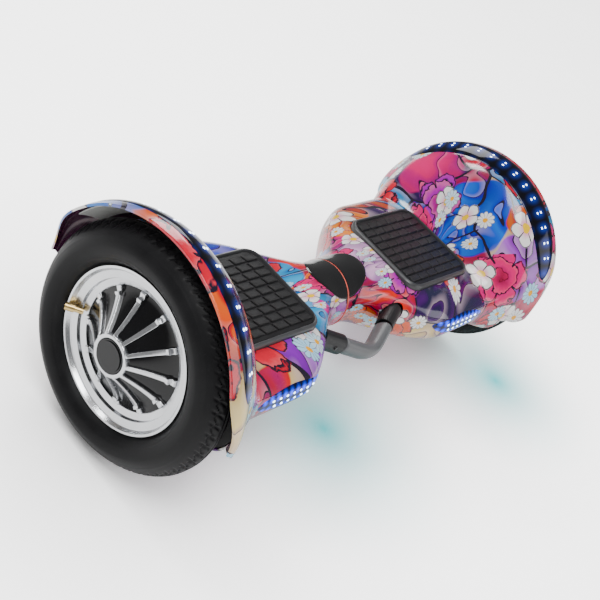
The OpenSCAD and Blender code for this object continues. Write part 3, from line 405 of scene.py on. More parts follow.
def printed_finish():
    """Colour patches, then roses, blossoms, daisies and fine inked lines, under a clear gloss."""
    material, tree, shader, place, group = start_material("printed_shell", 500)
    wrapped = tree.nodes.new("ShaderNodeGroup")
    wrapped.node_tree = wrap
    tree.links.new(place.outputs["Object"], wrapped.inputs[0])
    flat = wrapped.outputs[0]
    bend = add_node(tree, "ShaderNodeTexNoise", "bend", Vector=flat, Scale=9.0, Detail=2.0)
    shift = add_node(tree, "ShaderNodeVectorMath", "warped", i0=bend.outputs["Color"], i1=(0.09, 0.09, 0.0), i2=flat)
    shift.operation = "MULTIPLY_ADD"
    patch = add_node(tree, "ShaderNodeTexVoronoi", "patches", Vector=shift.outputs[0], Scale=12.0)
    patch.voronoi_dimensions = "2D"
    pick = add_node(tree, "ShaderNodeSeparateColor", "", Color=patch.outputs["Color"])
    colour = colour_steps(tree, pick.outputs[0], PALETTE)
    bent = add_node(tree, "ShaderNodeVectorMath", "uneven", i0=bend.outputs["Color"], i1=(0.08, 0.08, 0.08),
                    i2=place.outputs["Object"])
    bent.operation = "MULTIPLY_ADD"
    for middle, reach, tint in SPOTS:
        gap = add_node(tree, "ShaderNodeVectorMath", "spot", i0=bent.outputs[0],
                       i1=tuple(c + 0.04 for c in middle))
        gap.operation = "DISTANCE"
        colour = mix_colour(tree, step_up(tree, gap.outputs["Value"], reach, reach * 0.93), colour, tint + (1,))
    cell_edge = add_node(tree, "ShaderNodeTexVoronoi", "patch edges", Vector=shift.outputs[0], Scale=12.0)
    cell_edge.voronoi_dimensions, cell_edge.feature = "2D", "DISTANCE_TO_EDGE"
    shade = step_up(tree, cell_edge.outputs[0], 0.0, 0.35)
    colour = mix_colour(tree, shade, mix_colour(tree, 0.55, colour, (0.05, 0.01, 0.1, 1)), colour)
    drawn = add_node(tree, "ShaderNodeTexNoise", "drawn lines", Vector=shift.outputs[0], Scale=15.0, Detail=1.0)
    contour = calc(tree, "FRACT", calc(tree, "MULTIPLY_ADD", drawn.outputs[0], 6.0, pick.outputs[1]))
    colour = mix_colour(tree, calc(tree, "MULTIPLY", step_up(tree, contour, 0.5, 1.0), 0.32), colour, (0.95, 0.75, 0.85, 1))
    colour = mix_colour(tree, calc(tree, "MULTIPLY", step_up(tree, contour, 0.35, 0.05), 0.45), colour, (0.12, 0.0, 0.22, 1))
    colour = mix_colour(tree, step_up(tree, contour, 0.06, 0.04), colour, INK)
    line = calc(tree, "LESS_THAN", cell_edge.outputs[0], 0.022)
    colour = mix_colour(tree, line, colour, INK)

    rose = place_flower(tree, flat, 10.5, 5.0, 0.045, 0.55)
    petal = colour_steps(tree, rose["Luck"], FLOWER_INKS)
    petal = mix_colour(tree, calc(tree, "MULTIPLY", rose["Swirl"], 0.55), petal, (0.95, 0.42, 0.44, 1))
    petal = mix_colour(tree, step_up(tree, rose["Swirl"], 0.16, 0.08), petal, INK)
    petal = mix_colour(tree, step_up(tree, rose["Depth"], 0.4, 0.0), petal, (0.25, 0.0, 0.03, 1))
    colour = mix_colour(tree, rose["Mask"], colour, petal)
    rose_edge = calc(tree, "MULTIPLY", rose["Ink"], calc(tree, "GREATER_THAN", rose["Depth"], 0.5))
    colour = mix_colour(tree, rose_edge, colour, INK)

    moved = add_node(tree, "ShaderNodeVectorMath", "moved", i0=flat, i1=(0.31, 0.17, 0.0))
    blossom = place_flower(tree, moved.outputs[0], 17.0, 5.0, 0.024, 0.27)
    petal = mix_colour(tree, step_up(tree, blossom["Depth"], 0.6, 0.1), WHITE, (0.85, 0.35, 0.55, 1))
    petal = mix_colour(tree, blossom["Ink"], petal, INK)
    petal = mix_colour(tree, blossom["Heart"], petal, (0.93, 0.60, 0.05, 1))
    colour = mix_colour(tree, blossom["Mask"], colour, petal)

    moved = add_node(tree, "ShaderNodeVectorMath", "moved again", i0=flat, i1=(0.73, 0.41, 0.0))
    daisy = place_flower(tree, moved.outputs[0], 27.0, 11.0, 0.015, 0.2)
    petal = mix_colour(tree, daisy["Ink"], mix_colour(tree, daisy["Luck"], WHITE, (0.45, 0.75, 0.95, 1)), INK)
    petal = mix_colour(tree, daisy["Heart"], petal, (0.95, 0.45, 0.05, 1))
    colour = mix_colour(tree, daisy["Mask"], colour, petal)

    vivid = add_node(tree, "ShaderNodeHueSaturation", "vivid inks", Saturation=1.3, Value=0.88, Color=colour)
    colour = vivid.outputs[0]
    # The fender's underside is not printed: there the object's own normal points at the axle.
    place_xyz = add_node(tree, "ShaderNodeSeparateXYZ", "", Vector=place.outputs["Object"])
    radial = add_node(tree, "ShaderNodeCombineXYZ", "from the axle", Y=place_xyz.outputs[1],
                      Z=calc(tree, "SUBTRACT", place_xyz.outputs[2], AXLE_Z * MM))
    inward = add_node(tree, "ShaderNodeVectorMath", "faces the axle", i0=radial.outputs[0], i1=place.outputs["Normal"])
    inward.operation = "DOT_PRODUCT"
    under = calc(tree, "MULTIPLY", step_up(tree, inward.outputs["Value"], -0.02, -0.05),
                 calc(tree, "GREATER_THAN", calc(tree, "ABSOLUTE", place_xyz.outputs[0]), (END_X + 1) * MM))
    colour = mix_colour(tree, under, colour, (0.05, 0.006, 0.035, 1))
    tree.links.new(colour, shader.inputs["Base Color"])
    set_surface(tree, shader, group, (0.10, 0.22), 0.03)
    shader.inputs["Coat Weight"].default_value = 0.45
    shader.inputs["Coat Roughness"].default_value = 0.05
    return material


finish["printed_shell"] = printed_finish()
print("printed finish has", len(finish["printed_shell"].node_tree.nodes), "nodes")

# %% [markdown]
# Light comes from small LEDs behind dark gloss covers. A cover's material lights a soft halo
# round each LED from the piece's own UV map, one cell a LED, and the LEDs themselves are small
# domes that shine.

# %% Lit finishes
def lit_finish(name, base, glow, strength, rows_offset=0.0):
    """Dark gloss with a halo in each UV cell; every second row may be shifted by part of a cell."""
    material, tree, shader, place, group = start_material(name, 400)
    tree.links.new(mix_colour(tree, group.outputs["Cloud"], base + (1,), tuple(1.6 * c for c in base) + (1,)),
                   shader.inputs["Base Color"])
    set_surface(tree, shader, group, (0.05, 0.12), 0.02)
    uv = add_node(tree, "ShaderNodeSeparateXYZ", "cell", Vector=place.outputs["UV"])
    row = calc(tree, "FLOOR", uv.outputs[1])
    across = calc(tree, "SUBTRACT", calc(tree, "FRACT", calc(tree, "MULTIPLY_ADD", row, rows_offset, uv.outputs[0])), 0.5)
    updown = calc(tree, "SUBTRACT", calc(tree, "FRACT", uv.outputs[1]), 0.5)
    near = calc(tree, "SQRT", calc(tree, "MULTIPLY_ADD", across, across, calc(tree, "MULTIPLY", updown, updown)))
    halo = calc(tree, "POWER", step_up(tree, near, 0.62, 0.05), 2.2)
    tree.links.new(mix_colour(tree, halo, (0, 0, 0, 1), glow + (1,)), shader.inputs["Emission Color"])
    shader.inputs["Emission Strength"].default_value = strength
    shader.inputs["Coat Weight"].default_value = 0.1
    shader.inputs["Coat Roughness"].default_value = 0.04
    shader.inputs["Specular IOR Level"].default_value = 0.25
    return material


def led_finish(name, core, strength):
    """A shining dome, a little brighter in patches."""
    material, tree, shader, place, group = start_material(name, 900)
    colour = mix_colour(tree, group.outputs["Fleck"], core + (1,), (1.0, 1.0, 1.0, 1))
    tree.links.new(colour, shader.inputs["Emission Color"])
    tree.links.new(colour, shader.inputs["Base Color"])
    set_surface(tree, shader, group, (0.2, 0.3), 0.05)
    shader.inputs["Emission Strength"].default_value = strength
    return material


finish["smoked_lens"] = lit_finish("smoked_lens", (0.002, 0.002, 0.004), (0.02, 0.10, 1.0), 0.55)
finish["headlight_lens"] = lit_finish("headlight_lens", (0.0005, 0.002, 0.02), (0.0, 0.05, 1.0), 4.0)
finish["fender_led"] = led_finish("fender_led", (0.55, 0.78, 1.0), 5.0)
finish["lamp_led"] = led_finish("lamp_led", (0.45, 0.85, 1.0), 6.0)
print("finishes in all:", len(finish))

# %% [markdown]
# CAD parts whose shape is right keep it. Each one's own slot name picks its finish.

# %% CAD parts take their finishes
for node_name, cad_part in nodes.items():
    for material_slot in cad_part.material_slots:
        slot_name = material_slot.material.name.split(".")[0]
        material_slot.material = finish[slot_name]
print("CAD parts with a finish:", len(nodes))

# %% [markdown]
# The body is a superellipse round the neck that grows into the foot pods, then flares into
# round fenders over the tyres. The same rule as the CAD gives points at any spacing, so the
# gloss stays smooth. Angle t runs from the top of the axle towards the front.

# %% Body shape
def blend_to(a, b, t):
    return a + (b - a) * t


def ease(a, b, x):
    """0 below a, 1 above b, and a smooth S between."""
    t = np.clip((np.asarray(x, float) - a) / (b - a), 0, 1)
    return t * t * (3 - 2 * t)


def signed_power(v, p):
    return np.sign(v) * np.abs(v) ** p


def flare(x):
    """0 on the pod, 1 on the fender."""
    t = np.clip((np.asarray(x, float) - FLARE_X) / (STRIP_X0 - FLARE_X), 0, 1)
    return 0.5 * t + 0.5 * ease(0, 1, t)


def fender_radius(x):
    """The neck's radius to the strip, a quarter sine up over the strip, then a slow fall at the lip."""
    over = np.clip((x - STRIP_X0) / (STRIP_X1 - STRIP_X0), 0, 1)
    return blend_to(FENDER_NECK_R, FENDER_R, np.sin(over * np.pi / 2)) - 1.1 * np.clip((x - STRIP_X1) / (LIP_X - STRIP_X1), 0, 1)


def body_skin(x, t, inset=0.0):
    """Points (…, 3) of the right half's skin at x and angle t in degrees, inset by some mm:
    a superellipse of half depth and height that grow with x, blended into a circle round the axle."""
    x, t = np.broadcast_arrays(np.asarray(x, float), np.asarray(t, float))
    angle = np.radians(t)
    cos_t, sin_t = np.cos(angle), np.sin(angle)
    half_depth = blend_to(40.0, 109.0, ease(15, 150, x))
    top = blend_to(31.0, 28.5, ease(50, 95, x))
    bottom = -blend_to(49.0, 60.0, ease(15, 110, x))
    power = 2 / blend_to(2.0, np.where(cos_t > 0, 3.0, 2.3), ease(15, 110, x))
    tall = np.where(cos_t > 0, top + 9, -9 - bottom)
    pod = np.stack([-(half_depth - inset) * signed_power(sin_t, power),
                    -9 + (tall - inset) * signed_power(cos_t, power)], axis=-1)
    wrapped_t = np.abs(np.where(t > 180, t - 360, t))
    k = (flare(x) * (1 - ease(97, 140, wrapped_t)))[..., None]
    r = (fender_radius(x) - inset)[..., None]
    ring = np.stack([-sin_t, cos_t], axis=-1) * r
    return np.concatenate([x[..., None], pod * (1 - k) + ring * k], axis=-1)


def split_angle(x):
    """Half the upper shell's arc: it parts from the lower shell at 73 degrees and tucks to 97."""
    tucked = blend_to(73.0, 97.0, ease(234, END_X, x))
    return np.where(x < STRIP_X0, tucked, blend_to(97.0, 90.0, ease(STRIP_X0, LIP_X, x)))


def draw_in(points, t):
    """Towards its ends the fender's lip draws in to half its width."""
    points = points.copy()
    points[..., 0] -= 0.5 * np.maximum(0, points[..., 0] - STRIP_X0) * ease(58, 90, np.abs(t))
    return points


def to_side(points, side):
    return points * np.array([side, 1, 1])


# %% [markdown]
# A shell's edge is rounded, not sharp: rows near an edge sink by a small quarter circle, so
# each seam catches a thin line of light as moulded parts do.

# %% Upper and lower shells
EDGE_ROUND = 0.9


def edge_sink(share_from_edge_mm):
    """How far the skin sinks within EDGE_ROUND mm of an edge: a quarter circle."""
    d = np.clip(share_from_edge_mm / EDGE_ROUND, 0, 1)
    return EDGE_ROUND * (1 - np.sqrt(np.clip(1 - (1 - d) ** 2, 0, 1)))


def close_steps(n, inner=3):
    """0 to 1 in n even steps, with a few extra close to both ends."""
    ends = np.array([0.0, 0.0008, 0.002, 0.004])
    return np.unique(np.concatenate([ends, np.linspace(0, 1, n), 1 - ends]))


shell_xs = np.concatenate([[1.4, 1.6, 2.0, 2.4], np.linspace(4, 225, 84), np.linspace(227, LIP_X - 1.2, 56),
                           LIP_X - np.array([0.9, 0.6, 0.3, 0.1, 0.0])])
rise = np.minimum(shell_xs - shell_xs[0], shell_xs[-1] - shell_xs)[:, None]
share = close_steps(150)[None, :]
upper_t = (2 * share - 1) * split_angle(shell_xs)[:, None]
edge_mm = np.minimum(share, 1 - share) * 2 * split_angle(shell_xs)[:, None] * np.pi / 180 * 100
sink = np.maximum(edge_sink(rise), edge_sink(edge_mm))
shell_x_grid = np.broadcast_to(shell_xs[:, None], upper_t.shape)
upper_out = draw_in(body_skin(shell_x_grid, upper_t, sink), upper_t)
upper_in = draw_in(body_skin(shell_x_grid, upper_t, WALL), upper_t)

lower_xs = np.concatenate([[1.4, 1.6, 2.0, 2.4], np.linspace(4, END_X - 1.2, 110),
                           END_X - np.array([0.9, 0.6, 0.3, 0.1, 0.0])])
lower_start = split_angle(lower_xs)[:, None] + 0.4
lower_t = lower_start + share * (360 - 2 * lower_start)
rise = np.minimum(lower_xs - lower_xs[0], lower_xs[-1] - lower_xs)[:, None]
edge_mm = np.minimum(share, 1 - share) * 200 * 1.7
sink = np.maximum(edge_sink(rise), edge_sink(edge_mm))
lower_x_grid = np.broadcast_to(lower_xs[:, None], lower_t.shape)
lower_out = body_skin(lower_x_grid, lower_t, sink)
lower_in = body_skin(lower_x_grid, lower_t, WALL)

wall_t = np.linspace(0, 360, 181)
wall_ring = body_skin(np.full(181, END_X - 3.0), wall_t, WALL + 0.4)
wall_steps = np.linspace(0.12, 1, 12)[:, None, None]
wall_front = np.concatenate([np.broadcast_to(np.full((1, 1, 1), END_X - 1.0), (12, 181, 1)), wall_ring[None, :, 1:] * wall_steps], axis=-1)
wall_back = wall_front - np.array([2.0, 0, 0])
for side_name, side in SIDES:
    half = side_name + "_half"
    for part, outer, inner in (("upper", upper_out, upper_in), ("lower", lower_out, lower_in)):
        points, faces = closed_sheet(to_side(outer, side), to_side(inner, side))
        shell = make_piece(f"{side_name}_{part}_body", points, faces, finish["printed_shell"], half,
                           50, replaces=(f"{side_name}_{part}_shell",))
        print(shell.name, len(shell.data.polygons), "faces")
    points, faces = closed_sheet(to_side(wall_front, side), to_side(wall_back, side))
    make_piece(f"{side_name}_end_wall", points, faces, finish["black_rubber"], half)

# %% [markdown]
# A tyre is a profile carried round the axle: a pointed arch over the widest place and a round
# side below it. The tread is cut by moving the crown inwards wherever a slanted groove runs,
# so it is real geometry and not only a picture of one.

# %% Tyres
TYRE_MID_R, TYRE_HALF = TYRE_R - 23.5, 24.0
GROOVES, GROOVE_DEPTH = 60, 1.4
climb = np.radians(np.linspace(-64, 244, 120))
outer_r = np.where(np.sin(climb) > 0, TYRE_MID_R + 23.5 * signed_power(np.sin(climb), 1.3),
                   TYRE_MID_R + 21 * np.sin(climb))
outer_x = TYRE_HALF * np.where(np.sin(climb) > 0, signed_power(np.cos(climb), 1.3), np.cos(climb))
bead = np.array([[80.4, -9.4], [77.9, -8.6], [77.9, 8.6], [80.4, 9.4]])
tyre_profile = np.concatenate([np.stack([outer_r, outer_x], axis=-1), bead])
TYRE_STEPS = 720
spin = np.linspace(0, 1, TYRE_STEPS, endpoint=False)[:, None]
across = np.abs(tyre_profile[:, 1])[None, :]
crown = ease(TYRE_R - 9, TYRE_R - 5, tyre_profile[:, 0])[None, :] * (across < 21)
slant = np.abs((spin * GROOVES + across * 0.055) % 1 - 0.5)
cut = ease(0.17, 0.07, 0.0 + slant) * ease(3.0, 5.0, across)
middle = ease(1.7, 0.9, across)
wave = np.abs(across - 9.5 - 1.2 * np.sin(spin * GROOVES * np.pi * 2))
groove = np.maximum(np.maximum(cut, middle), ease(1.3, 0.7, wave))
ribs = 0.35 * np.exp(-((tyre_profile[:, 0] - 92) / 0.9) ** 2) + 0.35 * np.exp(-((tyre_profile[:, 0] - 113) / 0.9) ** 2)
tread = ribs[None, :] * (across > 8) - GROOVE_DEPTH * crown * groove
for side_name, side in SIDES:
    points, faces = revolve(tyre_profile, TYRE_STEPS, side, tread)
    tyre = make_piece(f"{side_name}_tread_tyre", points, faces, finish["tyre_rubber"], side_name + "_wheel",
                      40, replaces=(f"{side_name}_tyre",))
print("tyre faces", len(tyre.data.polygons))

# %% [markdown]
# The hub's face is a gloss dish that falls from a bright ring round the cap to the rim. Twelve
# machined ribs stand on it. Each is a bar swept from the ring outwards, whose top takes a step
# near the rim. Its rounded corners catch the light, so the bar has a rounded cross-section.

# %% Hub dish, ring and ribs
RING_R, CAP_R, DRUM_R, HUB_OUT, RIBS = 22.0, 17.3, 62.0, 30.0, 12


def dish_x(r):
    """Height of the dish at radius r: a long curve from the ring down to the rim."""
    t = np.clip((np.asarray(r, float) - RING_R) / (DRUM_R + 1 - RING_R), 0, 1)
    return blend_to(HUB_OUT - 4, 1.0, 1 - (1 - t) ** 1.35)


dish_r = np.linspace(RING_R - 1, DRUM_R + 0.8, 40)
dish_profile = np.concatenate([np.stack([dish_r, dish_x(dish_r)], axis=-1),
                               np.stack([dish_r[::-1] - 2, dish_x(dish_r[::-1]) - 3.4], axis=-1)])
ring_turn = np.linspace(0, 2 * np.pi, 24, endpoint=False)
ring_profile = np.stack([(RING_R + CAP_R) / 2 + 0.1 + 2.35 * signed_power(np.cos(ring_turn), 0.5),
                         HUB_OUT - 3.6 + 3.6 * signed_power(np.sin(ring_turn), 0.5)], axis=-1)
rib_r = np.concatenate([[21.0, 21.3], np.linspace(22, 54, 20), [54.4, 57.6, 58.0, 60.2, 62.6, 63.0]])
rib_top = np.where(rib_r < 54.2, dish_x(rib_r) + 3.6, np.where(rib_r < 57.8, dish_x(54.0) + 4.6, 5.2))
rib_top[:1] -= 0.5
rib_top[-1:] -= 0.5
section_turn = np.linspace(0, 2 * np.pi, 20, endpoint=False)
rib_half = np.interp(rib_r, [21, 40, 54, 58, 63], [2.0, 2.5, 2.9, 3.3, 3.3])
rib_base = dish_x(rib_r) - 1.0
sec_w, sec_h = signed_power(np.cos(section_turn), 0.35), signed_power(np.sin(section_turn), 0.35)
one_rib = np.stack([np.broadcast_to(rib_r[:, None], (len(rib_r), 20)), rib_half[:, None] * sec_w[None, :],
                    (rib_top + rib_base)[:, None] / 2 + (rib_top - rib_base)[:, None] / 2 * sec_h[None, :]], axis=-1)
ends = [np.broadcast_to(one_rib[i].mean(axis=0), (1, 20, 3)) for i in (0, -1)]
one_rib = np.concatenate([ends[0], one_rib, ends[1]])
rib_faces = grid_faces(len(one_rib), 20, False, True)
for side_name, side in SIDES:
    wheel = side_name + "_wheel"
    points, faces = revolve(dish_profile, 240, side)
    make_piece(f"{side_name}_hub_dish", points, faces, finish["black_hub"], wheel, 40,
               replaces=(f"{side_name}_hub_cover",))
    points, faces = revolve(ring_profile, 144, side)
    make_piece(f"{side_name}_hub_ring", points, faces, finish["polished_rim"], wheel, 40)
    all_points, all_faces = [], []
    for i in range(RIBS):
        a = (i + 0.5) * 2 * np.pi / RIBS
        r, w, x = one_rib[..., 0], one_rib[..., 1], one_rib[..., 2]
        all_points.append(np.stack([(WHEEL_X + x) * side, -(r * np.sin(a) + w * np.cos(a)),
                                    r * np.cos(a) - w * np.sin(a)], axis=-1).reshape(-1, 3))
        all_faces.append(rib_faces + i * one_rib.shape[0] * 20)
    hub_ribs = make_piece(f"{side_name}_hub_ribs", np.concatenate(all_points), np.concatenate(all_faces),
                          finish["polished_rim"], wheel, 40)
print("rib faces", len(hub_ribs.data.polygons))

# %% [markdown]
# The light strip lies along the fender's crown. It is a thin gloss dome, wide over the top and
# drawn to a point at both ends. Pairs of LED domes sit under it, with a halo in its finish.

# %% Fender light strips and their LEDs
STRIP_MID, STRIP_HALF, STRIP_ARC, LED_PAIRS = 300.5, 15.5, 66.0, 14
strip_t = np.linspace(-STRIP_ARC, STRIP_ARC, 181)
strip_u = np.linspace(-1, 1, 25)
t_grid, u_grid = np.meshgrid(strip_t, strip_u, indexing="ij")
taper = (1 - np.clip(np.abs(t_grid) / (STRIP_ARC + 0.2), 0, 1) ** 5) ** 0.6
strip_x = STRIP_MID + u_grid * STRIP_HALF * taper
dome = -0.25 - 1.1 * (1 - u_grid ** 4) * np.clip(taper * 1.4, 0, 1)
strip_out = draw_in(body_skin(strip_x, t_grid, dome), t_grid)
strip_in = draw_in(body_skin(strip_x, t_grid, 1.2), t_grid)
LED_SPAN = 58.0
strip_uv = np.stack([(t_grid / LED_SPAN + 1) / 2 * LED_PAIRS, u_grid * taper * 0.7 + 0.5], axis=-1)


def domes(centres, outward, radius, height, rings=4, spokes=10):
    """Small closed domes: rings of spokes from the rim up to the crown, and a flat foot below."""
    outward = outward / np.linalg.norm(outward, axis=-1, keepdims=True)
    side_a = np.cross(outward, np.array([0.3, 0.2, 0.93]))
    side_a /= np.linalg.norm(side_a, axis=-1, keepdims=True)
    side_b = np.cross(outward, side_a)
    lift = np.linspace(0, np.pi / 2, rings)
    turn = np.linspace(0, 2 * np.pi, spokes, endpoint=False)
    flat = np.concatenate([[0.0], np.cos(lift)])
    tall = np.concatenate([[-0.3], np.sin(lift)])
    points = (centres[:, None, None, :]
              + (radius * flat)[None, :, None, None] * (np.cos(turn)[None, None, :, None] * side_a[:, None, None, :]
                                                        + np.sin(turn)[None, None, :, None] * side_b[:, None, None, :])
              + (height * tall)[None, :, None, None] * outward[:, None, None, :])
    count, rows = len(centres), rings + 1
    faces = np.concatenate([grid_faces(rows, spokes, False, True, start=i * rows * spokes) for i in range(count)])
    return points.reshape(-1, 3), faces


led_t = (np.arange(LED_PAIRS) + 0.5) / LED_PAIRS * 2 * LED_SPAN - LED_SPAN
led_t = np.repeat(led_t, 2)
led_taper = (1 - np.clip(np.abs(led_t) / (STRIP_ARC + 0.2), 0, 1) ** 5) ** 0.6
led_x = STRIP_MID + np.tile([-0.17, 0.17], LED_PAIRS) * STRIP_HALF
led_at = draw_in(body_skin(led_x, led_t, -1.15), led_t)
led_out = led_at - draw_in(body_skin(led_x, led_t, 3.0), led_t)
for side_name, side in SIDES:
    half = side_name + "_half"
    points, faces = closed_sheet(to_side(strip_out, side), to_side(strip_in, side))
    make_piece(f"{side_name}_light_strip", points, faces, finish["smoked_lens"], half, 50,
               uv=np.concatenate([strip_uv.reshape(-1, 2)] * 2), replaces=(f"{side_name}_fender_lens",))
    points, faces = domes(to_side(led_at, side), to_side(led_out, side), 1.7, 0.8)
    make_piece(f"{side_name}_strip_leds", points, faces, finish["fender_led"], half, 60)
print("strip LEDs a side:", LED_PAIRS * 2)

# %% [markdown]
# Each headlight is a long leaf in the pod's front, with black ends and a blue middle. Two
# staggered rows of LEDs shine in it. It follows the pod, so it is drawn on the skin itself.

# %% Headlights and their LEDs
LAMP_X = (LAMP_LOW.x + LAMP_HIGH.x) / 2 / MM
LAMP_HALF = (LAMP_HIGH.x - LAMP_LOW.x) / 2 / MM
LAMP_HALF_H, LAMP_Z = 13.0, (LAMP_LOW.z + LAMP_HIGH.z) / 2 / MM - AXLE_Z + 3.5


def on_front(x, z, out):
    """Points on the pod's front at x and height z from the axle, out mm proud of the skin:
    the superellipse solved for depth at that height."""
    half_depth = blend_to(40.0, 109.0, ease(15, 150, x))
    top = blend_to(31.0, 28.5, ease(50, 95, x)) + 9
    bottom = blend_to(49.0, 60.0, ease(15, 110, x)) - 9
    n = blend_to(2.0, np.where(z > -9, 3.0, 2.3), ease(15, 110, x))
    share = np.clip(np.abs(z + 9) / np.where(z > -9, top, bottom), 0, 1)
    depth = half_depth * (1 - share ** n) ** (1 / n)
    return np.stack([x, -(depth + out), z], axis=-1)


lamp_a = np.linspace(0, 1, 97)
lamp_b = np.linspace(-1, 1, 21)
a_grid, b_grid = np.meshgrid(lamp_a, lamp_b, indexing="ij")
leaf = signed_power(np.sin(np.pi * np.clip(a_grid, 0.0005, 0.9995)), 0.55)
lamp_x = LAMP_X + (2 * a_grid - 1) * LAMP_HALF
lamp_z = LAMP_Z + b_grid * LAMP_HALF_H * leaf
bulge = 0.3 + 1.5 * (1 - b_grid ** 4) * leaf
lamp_out, lamp_in = on_front(lamp_x, lamp_z, bulge), on_front(lamp_x, lamp_z, -1.5)
lamp_uv = np.stack([(a_grid - 0.5) * 8 / 0.74 + 4, b_grid * leaf * 1.05 + 1], axis=-1)
lamp_led_x = LAMP_X + np.concatenate([np.arange(-3, 4) * 11.0, np.arange(-3, 3) * 11.0 + 5.5])
lamp_led_z = LAMP_Z + np.concatenate([np.full(7, 4.2), np.full(6, -4.0)])
lamp_led_at = on_front(lamp_led_x, lamp_led_z, 1.5)
lamp_led_out = lamp_led_at - on_front(lamp_led_x, lamp_led_z, -3.0)
for side_name, side in SIDES:
    half = side_name + "_half"
    points, faces = closed_sheet(to_side(lamp_out, side), to_side(lamp_in, side))
    make_piece(f"{side_name}_headlight", points, faces, finish["headlight_lens"], half, 50,
               uv=np.concatenate([lamp_uv.reshape(-1, 2)] * 2), replaces=(f"{side_name}_headlight_lens",))
    points, faces = domes(to_side(lamp_led_at, side), to_side(lamp_led_out, side), 1.7, 0.9)
    make_piece(f"{side_name}_headlight_leds", points, faces, finish["lamp_led"], half, 60)
print("headlight LEDs a side:", len(lamp_led_x))

# %% [markdown]
# The neck carries a gloss collar on each half, an oval that lies on the top of the body. Points
# on the top come from the same superellipse, solved for height at a place in plan.

# %% Neck collars
COLLAR_A, COLLAR_B = 48.0, 33.0


def on_top(x, y, out):
    """Points on the body's top at x and y, out mm proud: the superellipse solved for height."""
    half_depth = blend_to(40.0, 109.0, ease(15, 150, x))
    tall = blend_to(31.0, 28.5, ease(50, 95, x)) + 9
    n = blend_to(2.0, 3.0, ease(15, 110, x))
    share = np.clip(np.abs(y) / half_depth, 0, 1)
    return np.stack([x, y, -9 + (tall + out) * (1 - share ** n) ** (1 / n)], axis=-1)


rho = np.linspace(0, 1, 30) ** 0.8
phi = np.radians(np.linspace(-90, 90, 61))
rho_grid, phi_grid = np.meshgrid(rho, phi, indexing="ij")
collar_x = 1.4 + rho_grid * (COLLAR_A - 1.4) * np.cos(phi_grid)
collar_y = rho_grid * COLLAR_B * np.sin(phi_grid)
lift = 0.3 + 0.9 * np.sqrt(np.clip(1 - rho_grid ** 14, 0, 1))
collar_out, collar_in = on_top(collar_x, collar_y, lift), on_top(collar_x, collar_y, -1.5)
for side_name, side in SIDES:
    points, faces = closed_sheet(to_side(collar_out, side), to_side(collar_in, side))
    make_piece(f"{side_name}_collar", points, faces, finish["gloss_black"], side_name + "_half", 45,
               replaces=(f"{side_name}_neck_collar",))
print("collars reach", COLLAR_A, "mm from the middle")

# %% [markdown]
# A foot pad is a rubber mat in a bevelled frame. The frame's outline is a rounded rectangle that
# shrinks row by row, so one grid makes the bevel, the inner step and the flat middle. The blocks
# on the mat are small slabs with narrower tops, and each one leans towards a corner.

# %% Foot pads
PAD_X, PAD_LEN, PAD_DEPTH = PAD_LOW.x / MM, (PAD_HIGH.x - PAD_LOW.x) / MM, (PAD_HIGH.y - PAD_LOW.y) / MM
PAD_TOP, PAD_CORNER = PAD_HIGH.z / MM - AXLE_Z, 20.0
PAD_MID = PAD_X + PAD_LEN / 2


def rounded_outline(inset, height, steps=12):
    """A closed rounded rectangle round the pad's middle, inset by some mm, at one height."""
    radius = max(PAD_CORNER - inset, 1.0)
    arcs = np.linspace(0, np.pi / 2, steps)[None, :] + np.arange(4)[:, None] * np.pi / 2
    away_x = (PAD_LEN / 2 - inset - radius) * np.array([1, -1, -1, 1])[:, None]
    away_y = (PAD_DEPTH / 2 - inset - radius) * np.array([1, 1, -1, -1])[:, None]
    return np.stack([PAD_MID + away_x + radius * np.cos(arcs), away_y + radius * np.sin(arcs),
                     np.full(arcs.shape, height)], axis=-1).reshape(-1, 3)


frame_rows = [(0.4, PAD_TOP - 8.6), (0.0, PAD_TOP - 8.2), (0.0, PAD_TOP - 2.4), (0.25, PAD_TOP - 1.9),
              (2.4, PAD_TOP - 0.2), (2.8, PAD_TOP), (3.4, PAD_TOP), (3.8, PAD_TOP - 0.2), (4.4, PAD_TOP - 2.0),
              (4.8, PAD_TOP - 8.6)]
pad_frame = np.stack([rounded_outline(*row) for row in frame_rows])
mat_rows = [(5.0, PAD_TOP - 8.6), (5.0, PAD_TOP - 3.0), (5.6, PAD_TOP - 2.3), (6.5, PAD_TOP - 2.2)]
mat = np.stack([rounded_outline(*row) for row in mat_rows])
mat_middle = np.array([PAD_MID, 0, 0])
mat = np.concatenate([mat[:1] * [[[0, 0, 1]]] + mat_middle * [1, 1, 0], mat,
                      mat[-1:] * [[[0, 0, 1]]] + mat_middle * [1, 1, 0]])
BLOCK_COLS, BLOCK_ROWS, BLOCK_GAP = 6, 9, 2.4
span_x, span_y = PAD_LEN - 19.0, PAD_DEPTH - 19.0
pitch_x, pitch_y = span_x / BLOCK_COLS, span_y / BLOCK_ROWS
corner_x, corner_y = np.array([-1, 1, 1, -1]), np.array([-1, -1, 1, 1])
block_at = np.stack(np.meshgrid(PAD_MID - span_x / 2 + (np.arange(BLOCK_COLS) + 0.5) * pitch_x,
                                -span_y / 2 + (np.arange(BLOCK_ROWS) + 0.5) * pitch_y, indexing="ij"), -1).reshape(-1, 2)
layers = [(0.0, -2.8, 0.0), (0.0, -1.4, 0.35), (0.7, -0.75, 0.75)]
block_rows = []
for narrower, tall, lean in layers:
    bx = block_at[:, 0:1] + corner_x * (pitch_x / 2 - BLOCK_GAP / 2 - narrower) + corner_y * 1.2
    by = block_at[:, 1:2] + corner_y * (pitch_y / 2 - BLOCK_GAP / 2 - narrower)
    bz = np.broadcast_to(PAD_TOP + tall + lean * (corner_x - corner_y) / 2, bx.shape)
    block_rows.append(np.stack([bx, by, bz], axis=-1))
blocks = np.stack(block_rows, axis=1)
